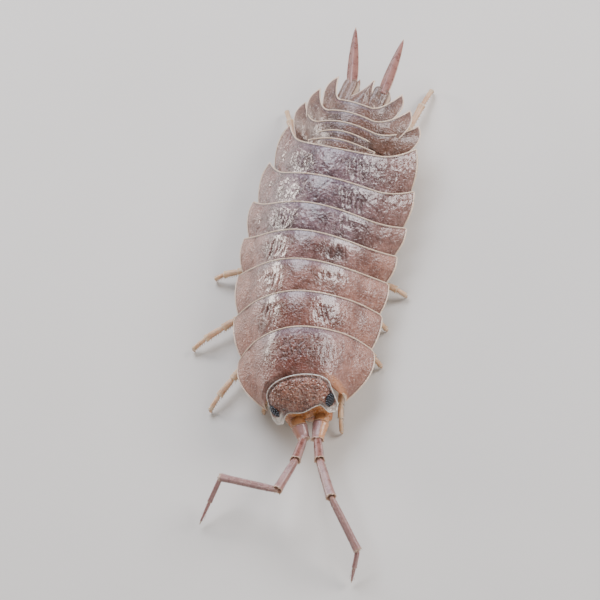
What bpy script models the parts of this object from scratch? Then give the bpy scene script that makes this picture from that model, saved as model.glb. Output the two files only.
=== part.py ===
"""A life-size woodlouse, standing still on its fourteen legs with its body bent to one side.

Sizes are in millimetres and angles in degrees, turned into Blender's metres where a mesh is made.
The head looks toward -Y, the tail toward +Y, +X is the animal's left and the floor is at z = 0.
The back hangs on one bent line, the spine, which runs along the top of the animal from the rear rim
of the head to the tip of the tail. Every plate, leg and feeler is placed from that line.
"""

import math
from collections import namedtuple

import bmesh
import bpy
import numpy as np
from mathutils import Matrix, Vector

MM = 0.001
GAP = 0.3

# The spine: where it starts, and its heading and slope at evenly spaced places along it
SPINE_START = Vector((1.14, -5.15, 3.58))
SPINE_HEADING = (-8.9, -5.0, 4.4, 12.0, 11.2, 21.2)
SPINE_SLOPE = (12.9, 2.1, 1.1, -1.2, -4.5, -16.4)
SPINE_STEPS = 400

# The plates: length along the spine, half width, height from edge to crown, how far the rear edge
# sweeps back toward its sides, and how far its corners are drawn out
Ring = namedtuple("Ring", "length half_width height sweep corner corner_start")
PEREONITES = (
    Ring(2.37, 3.31, 2.46, -0.27, -0.37, 0.6),
    Ring(1.85, 3.65, 2.71, 0.03, -0.24, 0.6),
    Ring(1.67, 3.77, 2.80, 0.18, -0.01, 0.6),
    Ring(1.50, 3.91, 2.72, 0.19, 0.22, 0.6),
    Ring(1.46, 3.99, 2.57, 0.33, 0.41, 0.6),
    Ring(1.52, 3.81, 2.28, 0.63, 0.67, 0.6),
    Ring(1.59, 3.34, 1.76, 1.12, 0.69, 0.6),
)
PLEONITES = (
    Ring(0.51, 1.75, 0.78, 0.08, 0.0, 0.45),
    Ring(0.48, 2.10, 1.25, 0.04, 0.0, 0.45),
    Ring(0.51, 2.97, 1.60, 0.00, 1.64, 0.45),
    Ring(0.61, 2.39, 1.03, 0.09, 1.54, 0.45),
    Ring(0.63, 1.71, 0.62, 0.24, 1.43, 0.45),
)
TELSON_LENGTH = 1.48
RINGS = PEREONITES + PLEONITES
SPINE_LENGTH = sum(ring.length for ring in RINGS) + TELSON_LENGTH

# The body's cross-section
DOME_ROUNDNESS = 0.224
PLATE_DEPTH = 0.38
PLATE_UNDERCUT = 0.36
BELLY_DEPTH = 1.95
PLEON_DEPTH = 1.25
FRONT_TUCK = 0.97
FRONT_SUNK = 0.12
BACK_ARCH = 0.08
SIDE_BULGE = 0.16

# The first plate's notch for the head
NOTCH_HALF_WIDTH = 1.95
NOTCH_REACH = 1.235
NOTCH_TURN = 100.0
NOTCH_SET_BACK = 0.26
NOTCH_SHIFT = -0.05
FRONT_CORNER_DROP = 1.84
FIRST_SIDE_BULGE = 0.5

# The tail's points
POINT_BULGE = 0.42
PLEON_OVERLAP = 0.3
PLEON_SUNK = 0.3
PLEON_ARCH = 0.03
PLEON_FRONT_TUCK = 0.9
PLEON_CLEARANCE = 0.12

# The telson and the tail feelers
TELSON_HALF_WIDTH = 1.1
TELSON_DEPTH = 0.45
TELSON_THINNING = 0.45
TELSON_TIP_HALF_WIDTH = 0.07
TELSON_TIP_SHIFT = 0.15
TELSON_NARROWING = 2.0
UROPOD_INNER = 0.42
UROPOD_OUTER = 1.25
UROPOD_END = 1.42
UROPOD_DROP = 0.28
UROPOD_DEPTH = 0.95
EXOPOD_LENGTH = 3.5
EXOPOD_RADIUS = 0.28
EXOPOD_ROOT = {"left": 0.95, "right": 0.7}
EXOPOD_DROP = 0.24
EXOPOD_SUNK = 0.35
EXOPOD_HEADING = {"left": 6.2, "right": -6.6}
EXOPOD_SLOPE = {"left": -17.0, "right": -13.0}
# Where along the blade and how wide there
EXOPOD_PROFILE = ((0.0, 0.8), (0.12, 1.0), (0.35, 1.0), (0.6, 0.78), (0.8, 0.52), (0.93, 0.3), (1.0, 0.16))
ENDOPOD_LENGTH = 1.15
ENDOPOD_RADIUS = 0.2
ENDOPOD_ROOT = 0.62
ENDOPOD_DROP = 1.0
ENDOPOD_SUNK = 0.5
ENDOPOD_TURN = 12.0
ENDOPOD_PROFILE = ((0.0, 1.0), (0.5, 1.0), (0.85, 0.6), (1.0, 0.35))

# The head, in a frame that starts at its rear rim
HEAD_YAW = -16.2
HEAD_PITCH = 27.9
HEAD_ROLL = -9.2
HEAD_SHIFT = -0.26
HEAD_LIFT = 0.08
HEAD_HALF_WIDTH = 1.6
HEAD_REAR_REACH = 0.83
HEAD_REAR_TURN = 95.0
FRONT_HALF_WIDTH = 1.66
FRONT_REACH = 1.67
# The lobes of the front margin: reach, place across, width and how flat their tops are
MEDIAN_LOBE = (0.18, 0.0, 0.34, 2)
SIDE_LOBE = (0.50, 0.80, 0.18, 4)
HEAD_SIDE_DROP = 0.208
HEAD_FRONT_DROP = 0.101
HEAD_SWELL = 0.18
# Layers of the head from crown to throat: depth, share of the width, front reach lost or won, rear start
HEAD_LAYERS = (
    (0.0, 1.0, 0.0, 0.0),
    (0.40, 1.0, -0.02, 0.16),
    (0.75, 0.86, 0.42, 0.32),
    (1.25, 0.78, 0.62, 0.50),
    (1.75, 0.58, 0.30, 0.80),
)
FACE_SQUARENESS = 6
EYE_PLACE = Vector((1.36, 1.50, -0.63))
EYE_RADII = Vector((0.21, 0.29, 0.23))
EYE_TURN = 30.0
EYE_GAP = 0.2
MOUTH_PLACE = (1.15, 2.0)
MOUTH_HALF_WIDTH = 0.55
MOUTH_DEPTH = 0.55
MOUTH_CLEARANCE = 0.12
MOUTH_NARROWING = 0.35
MOUTH_SLANT = 0.2

# The feelers: joints from the root outward, as left, tailward and height above the floor,
# measured from the point of the floor under the spine's start
ANTENNA_JOINTS = {
    "left": (
        (0.95, -1.85, 1.70),
        (0.95, -2.60, 1.86),
        (1.34, -3.88, 2.45),
        (2.22, -5.90, 2.85),
        (3.43, -7.93, 1.45),
        (3.00, -9.08, 0.25),
    ),
    "right": (
        (0.00, -2.00, 1.58),
        (0.22, -2.48, 1.55),
        (0.13, -3.84, 2.28),
        (-0.40, -5.60, 2.85),
        (-3.52, -4.58, 1.75),
        (-4.68, -6.40, 0.28),
    ),
}
ANTENNA_RADII = (0.38, 0.26, 0.25, 0.25, 0.21, 0.07)

# The legs: where each foot stands, measured as the feelers' joints are, and the knee's height
LEG_FEET = {
    "left": (
        (1.63, -1.45),
        (3.15, 2.00),
        (3.20, 3.95),
        (3.95, 5.75),
        (3.35, 9.60),
        (3.45, 12.30),
        (4.02, 16.95),
    ),
    "right": (
        (-2.30, -0.55),
        (-4.95, -0.50),
        (-6.22, 2.70),
        (-5.62, 6.50),
        (-3.95, 10.00),
        (-3.10, 12.90),
        (-3.20, 15.75),
    ),
}
LEG_ROOT_SHARE = 0.5
LEG_SET_BACK = 0.15
HIP_DROP = 0.45
LEG_RADII = (0.31, 0.30, 0.27, 0.26, 0.25, 0.15, 0.14)
KNEE_SHARES = (0.34, 0.62, 0.84)
KNEE_HEIGHTS = (0.72, 0.74, 0.62)
ANKLE_HEIGHT = 0.3


def material(name, colour, roughness):
    """A plain surface of one colour."""
    made = bpy.data.materials.new(name)
    made.use_nodes = True
    shader = made.node_tree.nodes["Principled BSDF"]
    shader.inputs["Base Color"].default_value = (*colour, 1.0)
    shader.inputs["Roughness"].default_value = roughness
    shader.inputs["Metallic"].default_value = 0.0
    return made


class Frame:
    """A point of the spine with the directions toward the tail, the animal's left and up."""

    def __init__(self, point, tailward, leftward, upward):
        self.point = point
        self.tailward = tailward
        self.leftward = leftward
        self.upward = upward

    def at(self, back, left, down):
        return self.point + self.tailward * back + self.leftward * left - self.upward * down


def turned_frame(point, heading, slope):
    """A frame from its heading and slope in degrees."""
    yaw = math.radians(heading)
    rise = math.radians(slope)
    tailward = Vector((math.sin(yaw) * math.cos(rise), math.cos(yaw) * math.cos(rise), math.sin(rise)))
    leftward = Vector((math.cos(yaw), -math.sin(yaw), 0.0))
    return Frame(point, tailward, leftward, leftward.cross(tailward).normalized())


def spine_line():
    """Headings, slopes and points at even steps along the spine."""
    arcs = np.linspace(0.0, SPINE_LENGTH, SPINE_STEPS + 1)
    knots = np.linspace(0.0, SPINE_LENGTH, len(SPINE_HEADING))
    headings = np.interp(arcs, knots, SPINE_HEADING)
    slopes = np.interp(arcs, knots, SPINE_SLOPE)
    points = [SPINE_START.copy()]
    for step in range(SPINE_STEPS):
        heading = (headings[step] + headings[step + 1]) / 2
        slope = (slopes[step] + slopes[step + 1]) / 2
        tailward = turned_frame(SPINE_START, heading, slope).tailward
        points.append(points[-1] + tailward * (SPINE_LENGTH / SPINE_STEPS))
    return arcs, headings, slopes, np.array([tuple(point) for point in points])


SPINE = spine_line()


def spine_frame(arc):
    """The frame at a length along the spine."""
    arcs, headings, slopes, points = SPINE
    point = Vector([float(np.interp(arc, arcs, points[:, axis])) for axis in range(3)])
    return turned_frame(point, float(np.interp(arc, arcs, headings)), float(np.interp(arc, arcs, slopes)))


def station(index):
    """The length along the spine to the rear edge of plate number index, and 0 for the head's rear rim."""
    return sum(ring.length for ring in RINGS[:index])


def dome(across):
    """How far the back falls from its crown to a place across it, as a share of its height."""
    return across**2 * (1 + DOME_ROUNDNESS * (1 - across**2))


def rear_sweep(ring, across):
    """How far behind its station the rear edge of a plate lies, at a place across it."""
    drawn = max(0.0, (abs(across) - ring.corner_start) / (1 - ring.corner_start))
    return ring.sweep * across**2 + ring.corner * drawn**2


def slanted_gap(ring, across):
    """The gap behind a rear edge, measured along the spine so that it is GAP square to the edge."""
    step = 0.01
    inside = max(-1.0, across - step)
    outside = min(1.0, across + step)
    run = (outside - inside) * ring.half_width
    slope = (rear_sweep(ring, outside) - rear_sweep(ring, inside)) / run
    return GAP * math.hypot(1.0, slope)


def block(name, place, counts, surface, collection):
    """A cube cut into a grid, whose corners are then placed by across, along and down."""
    shape = bmesh.new()
    bmesh.ops.create_cube(shape, size=2.0)
    for axis, count in enumerate(counts):
        square = Vector((0.0, 0.0, 0.0))
        square[axis] = 1.0
        for step in range(1, count):
            level = -1.0 + 2.0 * step / count
            everything = shape.verts[:] + shape.edges[:] + shape.faces[:]
            bmesh.ops.bisect_plane(shape, geom=everything, plane_co=square * level, plane_no=square)
    for corner in shape.verts:
        across = math.sin(math.pi / 2 * corner.co.x)
        along = (corner.co.y + 1) / 2
        down = (1 - corner.co.z) / 2
        corner.co = place(across, along, down) * MM
    bmesh.ops.triangulate(shape, faces=shape.faces[:])
    bmesh.ops.recalc_face_normals(shape, faces=shape.faces[:])
    return add_mesh(name, shape, surface, collection)


def add_mesh(name, shape, surface, collection):
    """An object from a finished bmesh."""
    mesh = bpy.data.meshes.new(name)
    shape.to_mesh(mesh)
    shape.free()
    mesh.materials.append(surface)
    mesh.shade_smooth()
    mesh.set_sharp_from_angle(angle=math.radians(40))
    made = bpy.data.objects.new(name, mesh)
    collection.objects.link(made)
    return made


def under_side(left, down, across, depth):
    """The point below a point of the back: the belly in the middle, the plate's own thickness outside."""
    return left - PLATE_UNDERCUT * across, max(down + PLATE_DEPTH, depth)


def plate_place(front_edge, rear_edge, bulge, depth, rise=BACK_ARCH):
    """The rule that lofts a plate from its front edge to its rear edge, from back to belly."""

    def place(across, along, down):
        ends = []
        for edge in (front_edge, rear_edge):
            frame, back, left, fall = edge(across)
            low_left, low_fall = under_side(left, fall, across, depth)
            side = left + (low_left - left) * down
            ends.append(frame.at(back, side, fall + (low_fall - fall) * down))
        hump = 4 * along * (1 - along)
        frame = rear_edge(across)[0]
        arch = frame.upward * (rise * hump * (1 - down))
        swell = frame.leftward * (math.copysign(bulge, across) * across**4 * hump)
        return ends[0].lerp(ends[1], along) + arch + swell

    return place


def first_front_edge(across):
    """The front edge of the first plate, which runs round the head."""
    turn = math.radians(NOTCH_TURN * across)
    back = NOTCH_SET_BACK - NOTCH_REACH * (1 - math.cos(turn))
    left = NOTCH_HALF_WIDTH * math.sin(turn) + NOTCH_SHIFT * (1 - across**4)
    drop = FRONT_CORNER_DROP * across**2 + FRONT_SUNK / 2
    return spine_frame(0.0), back, left, drop


def rear_edge_of(index, grow=0.0):
    """The rear edge of plate number index, moved back by grow."""
    ring = RINGS[index - 1]
    frame = spine_frame(station(index))

    def edge(across):
        back = rear_sweep(ring, across) + grow * slanted_gap(ring, across) / GAP
        return frame, back, ring.half_width * across, ring.height * dome(across)

    return edge


def front_edge_of(index):
    """The front edge of plate number index, a gap behind the rear edge of the plate before it."""
    before = RINGS[index - 2]
    frame = spine_frame(station(index - 1))

    def edge(across):
        back = rear_sweep(before, across) + slanted_gap(before, across)
        fall = before.height * dome(across) + FRONT_SUNK
        return frame, back, before.half_width * across * FRONT_TUCK, fall

    return edge


def make_pereonites(parts, surface):
    """The seven leg-bearing plates with the body under them."""
    for index in range(1, len(PEREONITES) + 1):
        front_edge = first_front_edge if index == 1 else front_edge_of(index)
        bulge = FIRST_SIDE_BULGE if index == 1 else SIDE_BULGE
        place = plate_place(front_edge, rear_edge_of(index), bulge, BELLY_DEPTH)
        block(f"pereonite_{index}", place, (22, 4, 2), surface, parts)


def pleonite_front_edge(index):
    """The hidden front edge of a tail ring, which reaches under the ring before it."""
    ring = RINGS[index - 1]
    before = RINGS[index - 2]
    frame = spine_frame(station(index - 1))

    def edge(across):
        left = ring.half_width * across * PLEON_FRONT_TUCK
        share = left / before.half_width
        back = before.sweep * share**2 - PLEON_OVERLAP
        fall = ring.height * dome(across) + PLEON_SUNK
        return frame, back, left, max(fall, before.height * dome(min(1.0, abs(share))) + PLEON_CLEARANCE)

    return edge


def make_pleon(parts, cutters, surface):
    """The five short rings of the tail, fused, with three pairs of points, clear of the last wide plate."""
    rings = []
    for number in range(1, len(PLEONITES) + 1):
        index = len(PEREONITES) + number
        bulge = POINT_BULGE if RINGS[index - 1].corner else 0.0
        front_edge = pleonite_front_edge(index)
        place = plate_place(front_edge, rear_edge_of(index), bulge, PLEON_DEPTH, PLEON_ARCH)
        rings.append(block(f"pleonite_{number}", place, (20, 3, 1), surface, parts))
    pleon = fuse("pleon", rings)
    last = len(PEREONITES)
    deep = 4.0
    high = 1.0
    spread = 0.8

    def cutter_place(across, along, down):
        frame, back, left, fall = rear_edge_of(last, GAP)(across)
        low_left = under_side(left, fall, across, BELLY_DEPTH)[0] + math.copysign(spread, across) * across**8
        reach = back if along > 0.5 else -PEREONITES[-1].length
        return frame.at(reach, low_left, fall - high + deep * down)

    cutter = block("pleon_cutter", cutter_place, (22, 1, 1), surface, cutters)
    cut(pleon, cutter)
    keep_largest(pleon)
    return pleon


def telson_place(grow=0.0):
    """The rule of the pointed end plate, grown all round by grow."""
    last = len(RINGS)
    start = spine_frame(station(last))
    tip = spine_frame(SPINE_LENGTH)
    ring = RINGS[-1]

    def place(across, along, down):
        left = TELSON_HALF_WIDTH * across
        share = left / ring.half_width
        front = rear_sweep(ring, share) + slanted_gap(ring, share) - grow
        fall = ring.height * dome(share) + FRONT_SUNK / 2
        thick = TELSON_DEPTH * (1 - TELSON_THINNING * along) + 2 * grow
        base = start.at(front, left + math.copysign(grow, across) * abs(across), fall - grow + thick * down)
        end_left = TELSON_TIP_SHIFT + (TELSON_TIP_HALF_WIDTH + grow) * across
        end = tip.at(grow, end_left, -grow + thick * down)
        narrowing = (1 - along) ** TELSON_NARROWING
        middle = base.lerp(end, along)
        sideways = base.lerp(end, 1 - narrowing)
        across_only = tip.leftward * (sideways - middle).dot(tip.leftward)
        return middle + across_only

    return place


def make_telson(parts, surface):
    """The pointed end plate."""
    return block("telson", telson_place(), (10, 6, 1), surface, parts)


def make_uropods(parts, cutters, surface):
    """The two tail feelers: a square base, a long outer blade and a short inner one."""
    ring = RINGS[-1]
    frame = spine_frame(station(len(RINGS)))
    clearance = block("uropod_cutter", telson_place(GAP), (10, 6, 1), surface, cutters)
    for side, sign in (("left", 1), ("right", -1)):

        def place(across, along, down):
            middle = (UROPOD_INNER + UROPOD_OUTER) / 2
            left = sign * (middle + (UROPOD_OUTER - UROPOD_INNER) / 2 * across)
            share = left / ring.half_width
            front = rear_sweep(ring, share) + slanted_gap(ring, share)
            back = front + (UROPOD_END - front) * along
            return frame.at(back, left, UROPOD_DROP + UROPOD_DEPTH * down)

        base = block(f"uropod_{side}_base", place, (4, 3, 2), surface, parts)
        if sign < 0:
            flip_outward(base)
        root = frame.at(UROPOD_END - EXOPOD_SUNK, sign * EXOPOD_ROOT[side], EXOPOD_DROP)
        line = turned_frame(root, EXOPOD_HEADING[side], EXOPOD_SLOPE[side])
        length = EXOPOD_LENGTH + EXOPOD_SUNK
        outer = blade(f"uropod_{side}_blade", line, length, EXOPOD_RADIUS, EXOPOD_PROFILE, surface, parts)
        root = frame.at(UROPOD_END - ENDOPOD_SUNK, sign * ENDOPOD_ROOT, ENDOPOD_DROP)
        line = turned_frame(root, EXOPOD_HEADING[side] - sign * ENDOPOD_TURN, EXOPOD_SLOPE[side])
        inner = blade(
            f"uropod_{side}_inner", line, ENDOPOD_LENGTH, ENDOPOD_RADIUS, ENDOPOD_PROFILE, surface, parts
        )
        uropod = fuse(f"uropod_{side}", [base, outer, inner])
        cut(uropod, clearance)
        keep_largest(uropod)


def blade(name, frame, length, radius, profile, surface, collection):
    """A straight tapering blade whose width follows a profile."""
    line = [frame.at(share * length, 0, 0) for share, width in profile]
    radii = [radius * width for share, width in profile]
    return solid_tube(name, line, radii, surface, collection)


def head_frame():
    """The head's frame: back is toward the neck, so a place ahead has a negative back."""
    start = spine_frame(0.0)
    frame = turned_frame(start.point, HEAD_YAW, HEAD_PITCH)
    turn = Matrix.Rotation(math.radians(HEAD_ROLL), 3, frame.tailward)
    frame.leftward = turn @ frame.leftward
    frame.upward = turn @ frame.upward
    frame.point = frame.at(0.0, HEAD_SHIFT, -HEAD_LIFT)
    return frame


def lobe(across, shape):
    """How far a lobe of the front margin reaches ahead at a place across it."""
    reach, middle, width, flatness = shape
    return reach * math.exp(-(((abs(across) - middle) / width) ** flatness))


def head_place(across, along, down):
    """The head: a shield with three lobes in front, over a narrower face that reaches forward below."""
    frame = head_frame()
    depths = [layer[0] for layer in HEAD_LAYERS]
    level = down * (len(depths) - 1)
    depth, width, reach, start = (
        float(np.interp(level, range(len(depths)), [layer[item] for layer in HEAD_LAYERS]))
        for item in range(4)
    )
    turn = math.radians(HEAD_REAR_TURN * across)
    rear = (HEAD_HALF_WIDTH * math.sin(turn), HEAD_REAR_REACH * (1 - math.cos(turn)) + start)
    lobes = lobe(across, MEDIAN_LOBE) + lobe(across, SIDE_LOBE)
    keep_lobes = max(0.0, 1 - (depth / HEAD_LAYERS[2][0]) ** 2)
    face_reach = reach * (1 - across**FACE_SQUARENESS)
    front = (FRONT_HALF_WIDTH * across, FRONT_REACH + lobes * keep_lobes + face_reach)
    left = (rear[0] + (front[0] - rear[0]) * along) * width
    ahead = rear[1] + (front[1] - rear[1]) * along
    drop = HEAD_SIDE_DROP * left**2 + HEAD_FRONT_DROP * ahead**2 * keep_lobes
    drop = drop - HEAD_SWELL * math.sin(math.pi * along) * (1 - across**2) * (1 - down)
    return frame.at(-ahead, left, drop * (1 - 0.5 * down) + depth)


def eye_place(sign, radii):
    """The matrix that turns a unit ball into an eye."""
    frame = head_frame()
    centre = frame.at(-EYE_PLACE.y, sign * EYE_PLACE.x, -EYE_PLACE.z)
    axes = Matrix((frame.leftward, frame.tailward, frame.upward)).transposed().to_4x4()
    slant = Matrix.Rotation(math.radians(-sign * EYE_TURN), 4, "Z")
    return Matrix.Translation(centre * MM) @ axes @ slant @ Matrix.Diagonal((*(radii * MM), 1.0))


def ball(name, matrix, surface, collection):
    """A ball shaped by a matrix."""
    shape = bmesh.new()
    bmesh.ops.create_uvsphere(shape, u_segments=14, v_segments=9, radius=1.0)
    shape.transform(matrix)
    return add_mesh(name, shape, surface, collection)


def make_head(parts, cutters, skin, eye):
    """The head with a socket for each eye, the eyes and the mouthparts under it."""
    head = block("head", head_place, (26, 6, 8), skin, parts)
    for side, sign in (("left", 1), ("right", -1)):
        socket = ball(f"socket_{side}", eye_place(sign, EYE_RADII + Vector((EYE_GAP,) * 3)), skin, cutters)
        cut(head, socket)
        ball(f"eye_{side}", eye_place(sign, EYE_RADII), eye, parts)
    keep_largest(head)
    frame = head_frame()
    top = HEAD_LAYERS[-1][0] + GAP + MOUTH_CLEARANCE

    def mouth_place(across, along, down):
        narrow = 1 - MOUTH_NARROWING * down
        ahead = MOUTH_PLACE[0] + (MOUTH_PLACE[1] - MOUTH_PLACE[0] - MOUTH_SLANT * down) * along
        return frame.at(-ahead, MOUTH_HALF_WIDTH * across * narrow, top + MOUTH_DEPTH * down)

    mouth = block("mouthparts", mouth_place, (6, 3, 2), skin, parts)
    flip_outward(mouth)


def solid_tube(name, line, radii, surface, collection):
    """A tube as a closed mesh, for joining with other pieces."""
    curve = tube(name + "_curve", line, radii, surface, collection)
    bpy.context.view_layer.update()
    evaluated = curve.evaluated_get(bpy.context.evaluated_depsgraph_get())
    mesh = bpy.data.meshes.new_from_object(evaluated)
    shape = bmesh.new()
    shape.from_mesh(mesh)
    shape.transform(curve.matrix_world)
    bmesh.ops.remove_doubles(shape, verts=shape.verts[:], dist=0.00001)
    bmesh.ops.recalc_face_normals(shape, faces=shape.faces[:])
    bpy.data.objects.remove(curve)
    bpy.data.meshes.remove(mesh)
    return add_mesh(name, shape, surface, collection)


def tube(name, line, radii, surface, collection):
    """A round tube along a line of points, with a radius at each."""
    curve = bpy.data.curves.new(name, "CURVE")
    curve.dimensions = "3D"
    curve.bevel_depth = MM
    curve.bevel_resolution = 2
    curve.use_fill_caps = True
    curve.twist_mode = "MINIMUM"
    spline = curve.splines.new("POLY")
    spline.points.add(len(line) - 1)
    for point, place, radius in zip(spline.points, line, radii):
        point.co = (*(place * MM), 1.0)
        point.radius = radius
    spline.use_smooth = True
    curve.materials.append(surface)
    made = bpy.data.objects.new(name, curve)
    collection.objects.link(made)
    return made


def floor_point(left, tailward, height):
    """A point measured from the floor under the spine's start."""
    return Vector((SPINE_START.x + left, SPINE_START.y + tailward, height))


def make_antennae(parts, surface):
    """The two feelers: a base, the two long articles and the flagellum, a gap apart at each joint."""
    names = ("base", "article_4", "article_5", "flagellum")
    for side, joints in ANTENNA_JOINTS.items():
        places = [floor_point(*joint) for joint in joints]
        runs = ((0, 1, 2), (2, 3), (3, 4), (4, 5))
        for name, run in zip(names, runs):
            line = [places[joint] for joint in run]
            radii = [ANTENNA_RADII[joint] for joint in run]
            if name != "base":
                line[0] = line[0] + (line[1] - line[0]).normalized() * GAP
            if len(line) == 2:
                middle = line[0].lerp(line[1], 0.5)
                line.insert(1, middle)
                radii.insert(1, sum(radii) / 2)
            tube(f"antenna_{side}_{name}", line, radii, surface, parts)


def make_legs(parts, surface):
    """Seven pairs of legs, each from a face under its plate to a small flat on the floor."""
    for side, sign in (("left", 1), ("right", -1)):
        for number, foot in enumerate(LEG_FEET[side], start=1):
            ring = PEREONITES[number - 1]
            frame = spine_frame((station(number - 1) + station(number)) / 2 + LEG_SET_BACK)
            root = frame.at(0, sign * ring.half_width * LEG_ROOT_SHARE, BELLY_DEPTH + GAP)
            hip = root - frame.upward * HIP_DROP
            ground = floor_point(*foot, 0.0)
            line = [root, hip]
            for share, height in zip(KNEE_SHARES, KNEE_HEIGHTS):
                point = hip.lerp(ground, share)
                point.z = height
                line.append(point)
            line.append(ground + Vector((0, 0, ANKLE_HEIGHT)))
            line.append(ground)
            tube(f"leg_{side}_{number}", line, LEG_RADII, surface, parts)


def flip_outward(made):
    """Turns the faces of a mirrored block outward again."""
    shape = bmesh.new()
    shape.from_mesh(made.data)
    bmesh.ops.recalc_face_normals(shape, faces=shape.faces[:])
    shape.to_mesh(made.data)
    shape.free()


def apply_modifiers(made):
    """Replaces an object's mesh by what its modifiers make of it."""
    bpy.context.view_layer.update()
    evaluated = made.evaluated_get(bpy.context.evaluated_depsgraph_get())
    mesh = bpy.data.meshes.new_from_object(evaluated)
    made.modifiers.clear()
    old = made.data
    made.data = mesh
    mesh.name = made.name
    bpy.data.meshes.remove(old)


def cut(made, cutter):
    """Cuts an object by a cutter and applies the cut."""
    modifier = made.modifiers.new("cut", "BOOLEAN")
    modifier.operation = "DIFFERENCE"
    modifier.solver = "EXACT"
    modifier.object = cutter
    apply_modifiers(made)


def fuse(name, pieces):
    """Joins pieces into the first of them by one union."""
    target = pieces[0]
    others = pieces[1:]
    group = bpy.data.collections.new(name + "_pieces")
    bpy.context.scene.collection.children.link(group)
    for other in others:
        for holder in other.users_collection:
            holder.objects.unlink(other)
        group.objects.link(other)
    modifier = target.modifiers.new("fuse", "BOOLEAN")
    modifier.operation = "UNION"
    modifier.solver = "EXACT"
    modifier.operand_type = "COLLECTION"
    modifier.collection = group
    apply_modifiers(target)
    for other in others:
        bpy.data.objects.remove(other)
    bpy.data.collections.remove(group)
    target.name = name
    return target


def keep_largest(made):
    """Keeps only the largest closed surface of a mesh."""
    shape = bmesh.new()
    shape.from_mesh(made.data)
    bmesh.ops.triangulate(shape, faces=shape.faces[:])
    left = set(shape.verts)
    islands = []
    while left:
        queue = [left.pop()]
        island = list(queue)
        while queue:
            corner = queue.pop()
            for edge in corner.link_edges:
                other = edge.other_vert(corner)
                if other in left:
                    left.remove(other)
                    queue.append(other)
                    island.append(other)
        islands.append(island)
    islands.sort(key=len, reverse=True)
    for island in islands[1:]:
        bmesh.ops.delete(shape, geom=island, context="VERTS")
    shape.to_mesh(made.data)
    shape.free()


def main():
    for old in list(bpy.data.objects):
        bpy.data.objects.remove(old)
    parts = bpy.data.collections.new("woodlouse")
    cutters = bpy.data.collections.new("cutters")
    bpy.context.scene.collection.children.link(parts)
    bpy.context.scene.collection.children.link(cutters)
    plate = material("plate", (0.25, 0.19, 0.19), 0.35)
    shield = material("shield", (0.16, 0.11, 0.10), 0.4)
    eye = material("eye", (0.01, 0.01, 0.015), 0.15)
    feeler = material("feeler", (0.38, 0.27, 0.30), 0.4)
    limb = material("limb", (0.62, 0.48, 0.36), 0.45)
    make_pereonites(parts, plate)
    make_pleon(parts, cutters, plate)
    make_telson(parts, plate)
    make_uropods(parts, cutters, feeler)
    make_head(parts, cutters, shield, eye)
    make_antennae(parts, feeler)
    make_legs(parts, limb)
    for cutter in cutters.objects:
        cutter.hide_render = True
        cutter.display_type = "WIRE"


main()
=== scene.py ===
"""A still, life-size woodlouse on a pale floor, with its body bent to one side.

Sizes are in millimetres and angles in degrees, turned into metres where a mesh is made. The head
looks toward -Y, the tail toward +Y, +X is the animal's left and the floor is at z = 0. The back
hangs on one bent line, the spine, from the rear rim of the head to the tip of the tail.
"""

import math
from collections import namedtuple
from itertools import product

import bpy
import numpy as np
from mathutils import Matrix, Vector


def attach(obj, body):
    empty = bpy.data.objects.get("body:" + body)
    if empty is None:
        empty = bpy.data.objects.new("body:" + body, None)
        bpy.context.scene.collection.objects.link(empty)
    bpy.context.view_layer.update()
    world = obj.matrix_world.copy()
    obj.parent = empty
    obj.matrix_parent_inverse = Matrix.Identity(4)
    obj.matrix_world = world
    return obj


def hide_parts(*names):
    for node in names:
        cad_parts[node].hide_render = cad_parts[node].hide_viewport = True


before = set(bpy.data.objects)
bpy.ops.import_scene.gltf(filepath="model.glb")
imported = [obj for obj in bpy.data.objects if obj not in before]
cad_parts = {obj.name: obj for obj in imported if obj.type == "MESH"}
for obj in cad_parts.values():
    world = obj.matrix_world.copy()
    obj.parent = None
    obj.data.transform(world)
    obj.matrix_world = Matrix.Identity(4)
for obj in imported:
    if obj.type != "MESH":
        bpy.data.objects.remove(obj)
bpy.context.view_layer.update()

MM = 0.001
UP = np.array((0.0, 0.0, 1.0))
SIDES = {"left": 1, "right": -1}

# The spine: where it starts, and its heading and slope at evenly spaced places along it
SPINE_START = np.array((1.14, -5.15, 3.58))
SPINE_HEADING = (-8.9, -5.0, 4.4, 12.0, 11.2, 21.2)
SPINE_SLOPE = (12.9, 2.1, 1.1, -1.2, -4.5, -16.4)
SPINE_STEPS = 400

# The plates: length along the spine, half width, height from edge to crown, how far the rear edge
# sweeps back toward its sides, and how far its corners are drawn out and from what share of the width
Ring = namedtuple("Ring", "length half_width height sweep corner corner_start")
PEREONITES = (
    Ring(2.37, 3.31, 2.46, -0.27, -0.37, 0.6),
    Ring(1.85, 3.65, 2.71, 0.03, -0.24, 0.6),
    Ring(1.67, 3.77, 2.80, 0.18, -0.01, 0.6),
    Ring(1.50, 3.91, 2.72, 0.19, 0.22, 0.6),
    Ring(1.46, 3.99, 2.57, 0.33, 0.41, 0.6),
    Ring(1.52, 3.81, 2.28, 0.63, 0.67, 0.6),
    Ring(1.59, 3.34, 1.76, 1.12, 0.69, 0.6),
)
PLEONITES = (
    Ring(0.51, 1.75, 0.78, 0.08, 0.0, 0.45),
    Ring(0.48, 2.10, 1.25, 0.04, 0.0, 0.45),
    Ring(0.51, 2.97, 1.60, 0.00, 1.64, 0.45),
    Ring(0.61, 2.39, 1.03, 0.09, 1.54, 0.45),
    Ring(0.63, 1.71, 0.62, 0.24, 1.43, 0.45),
)
TELSON_LENGTH = 1.48
RINGS = PEREONITES + PLEONITES
SPINE_LENGTH = sum(ring.length for ring in RINGS) + TELSON_LENGTH

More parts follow.
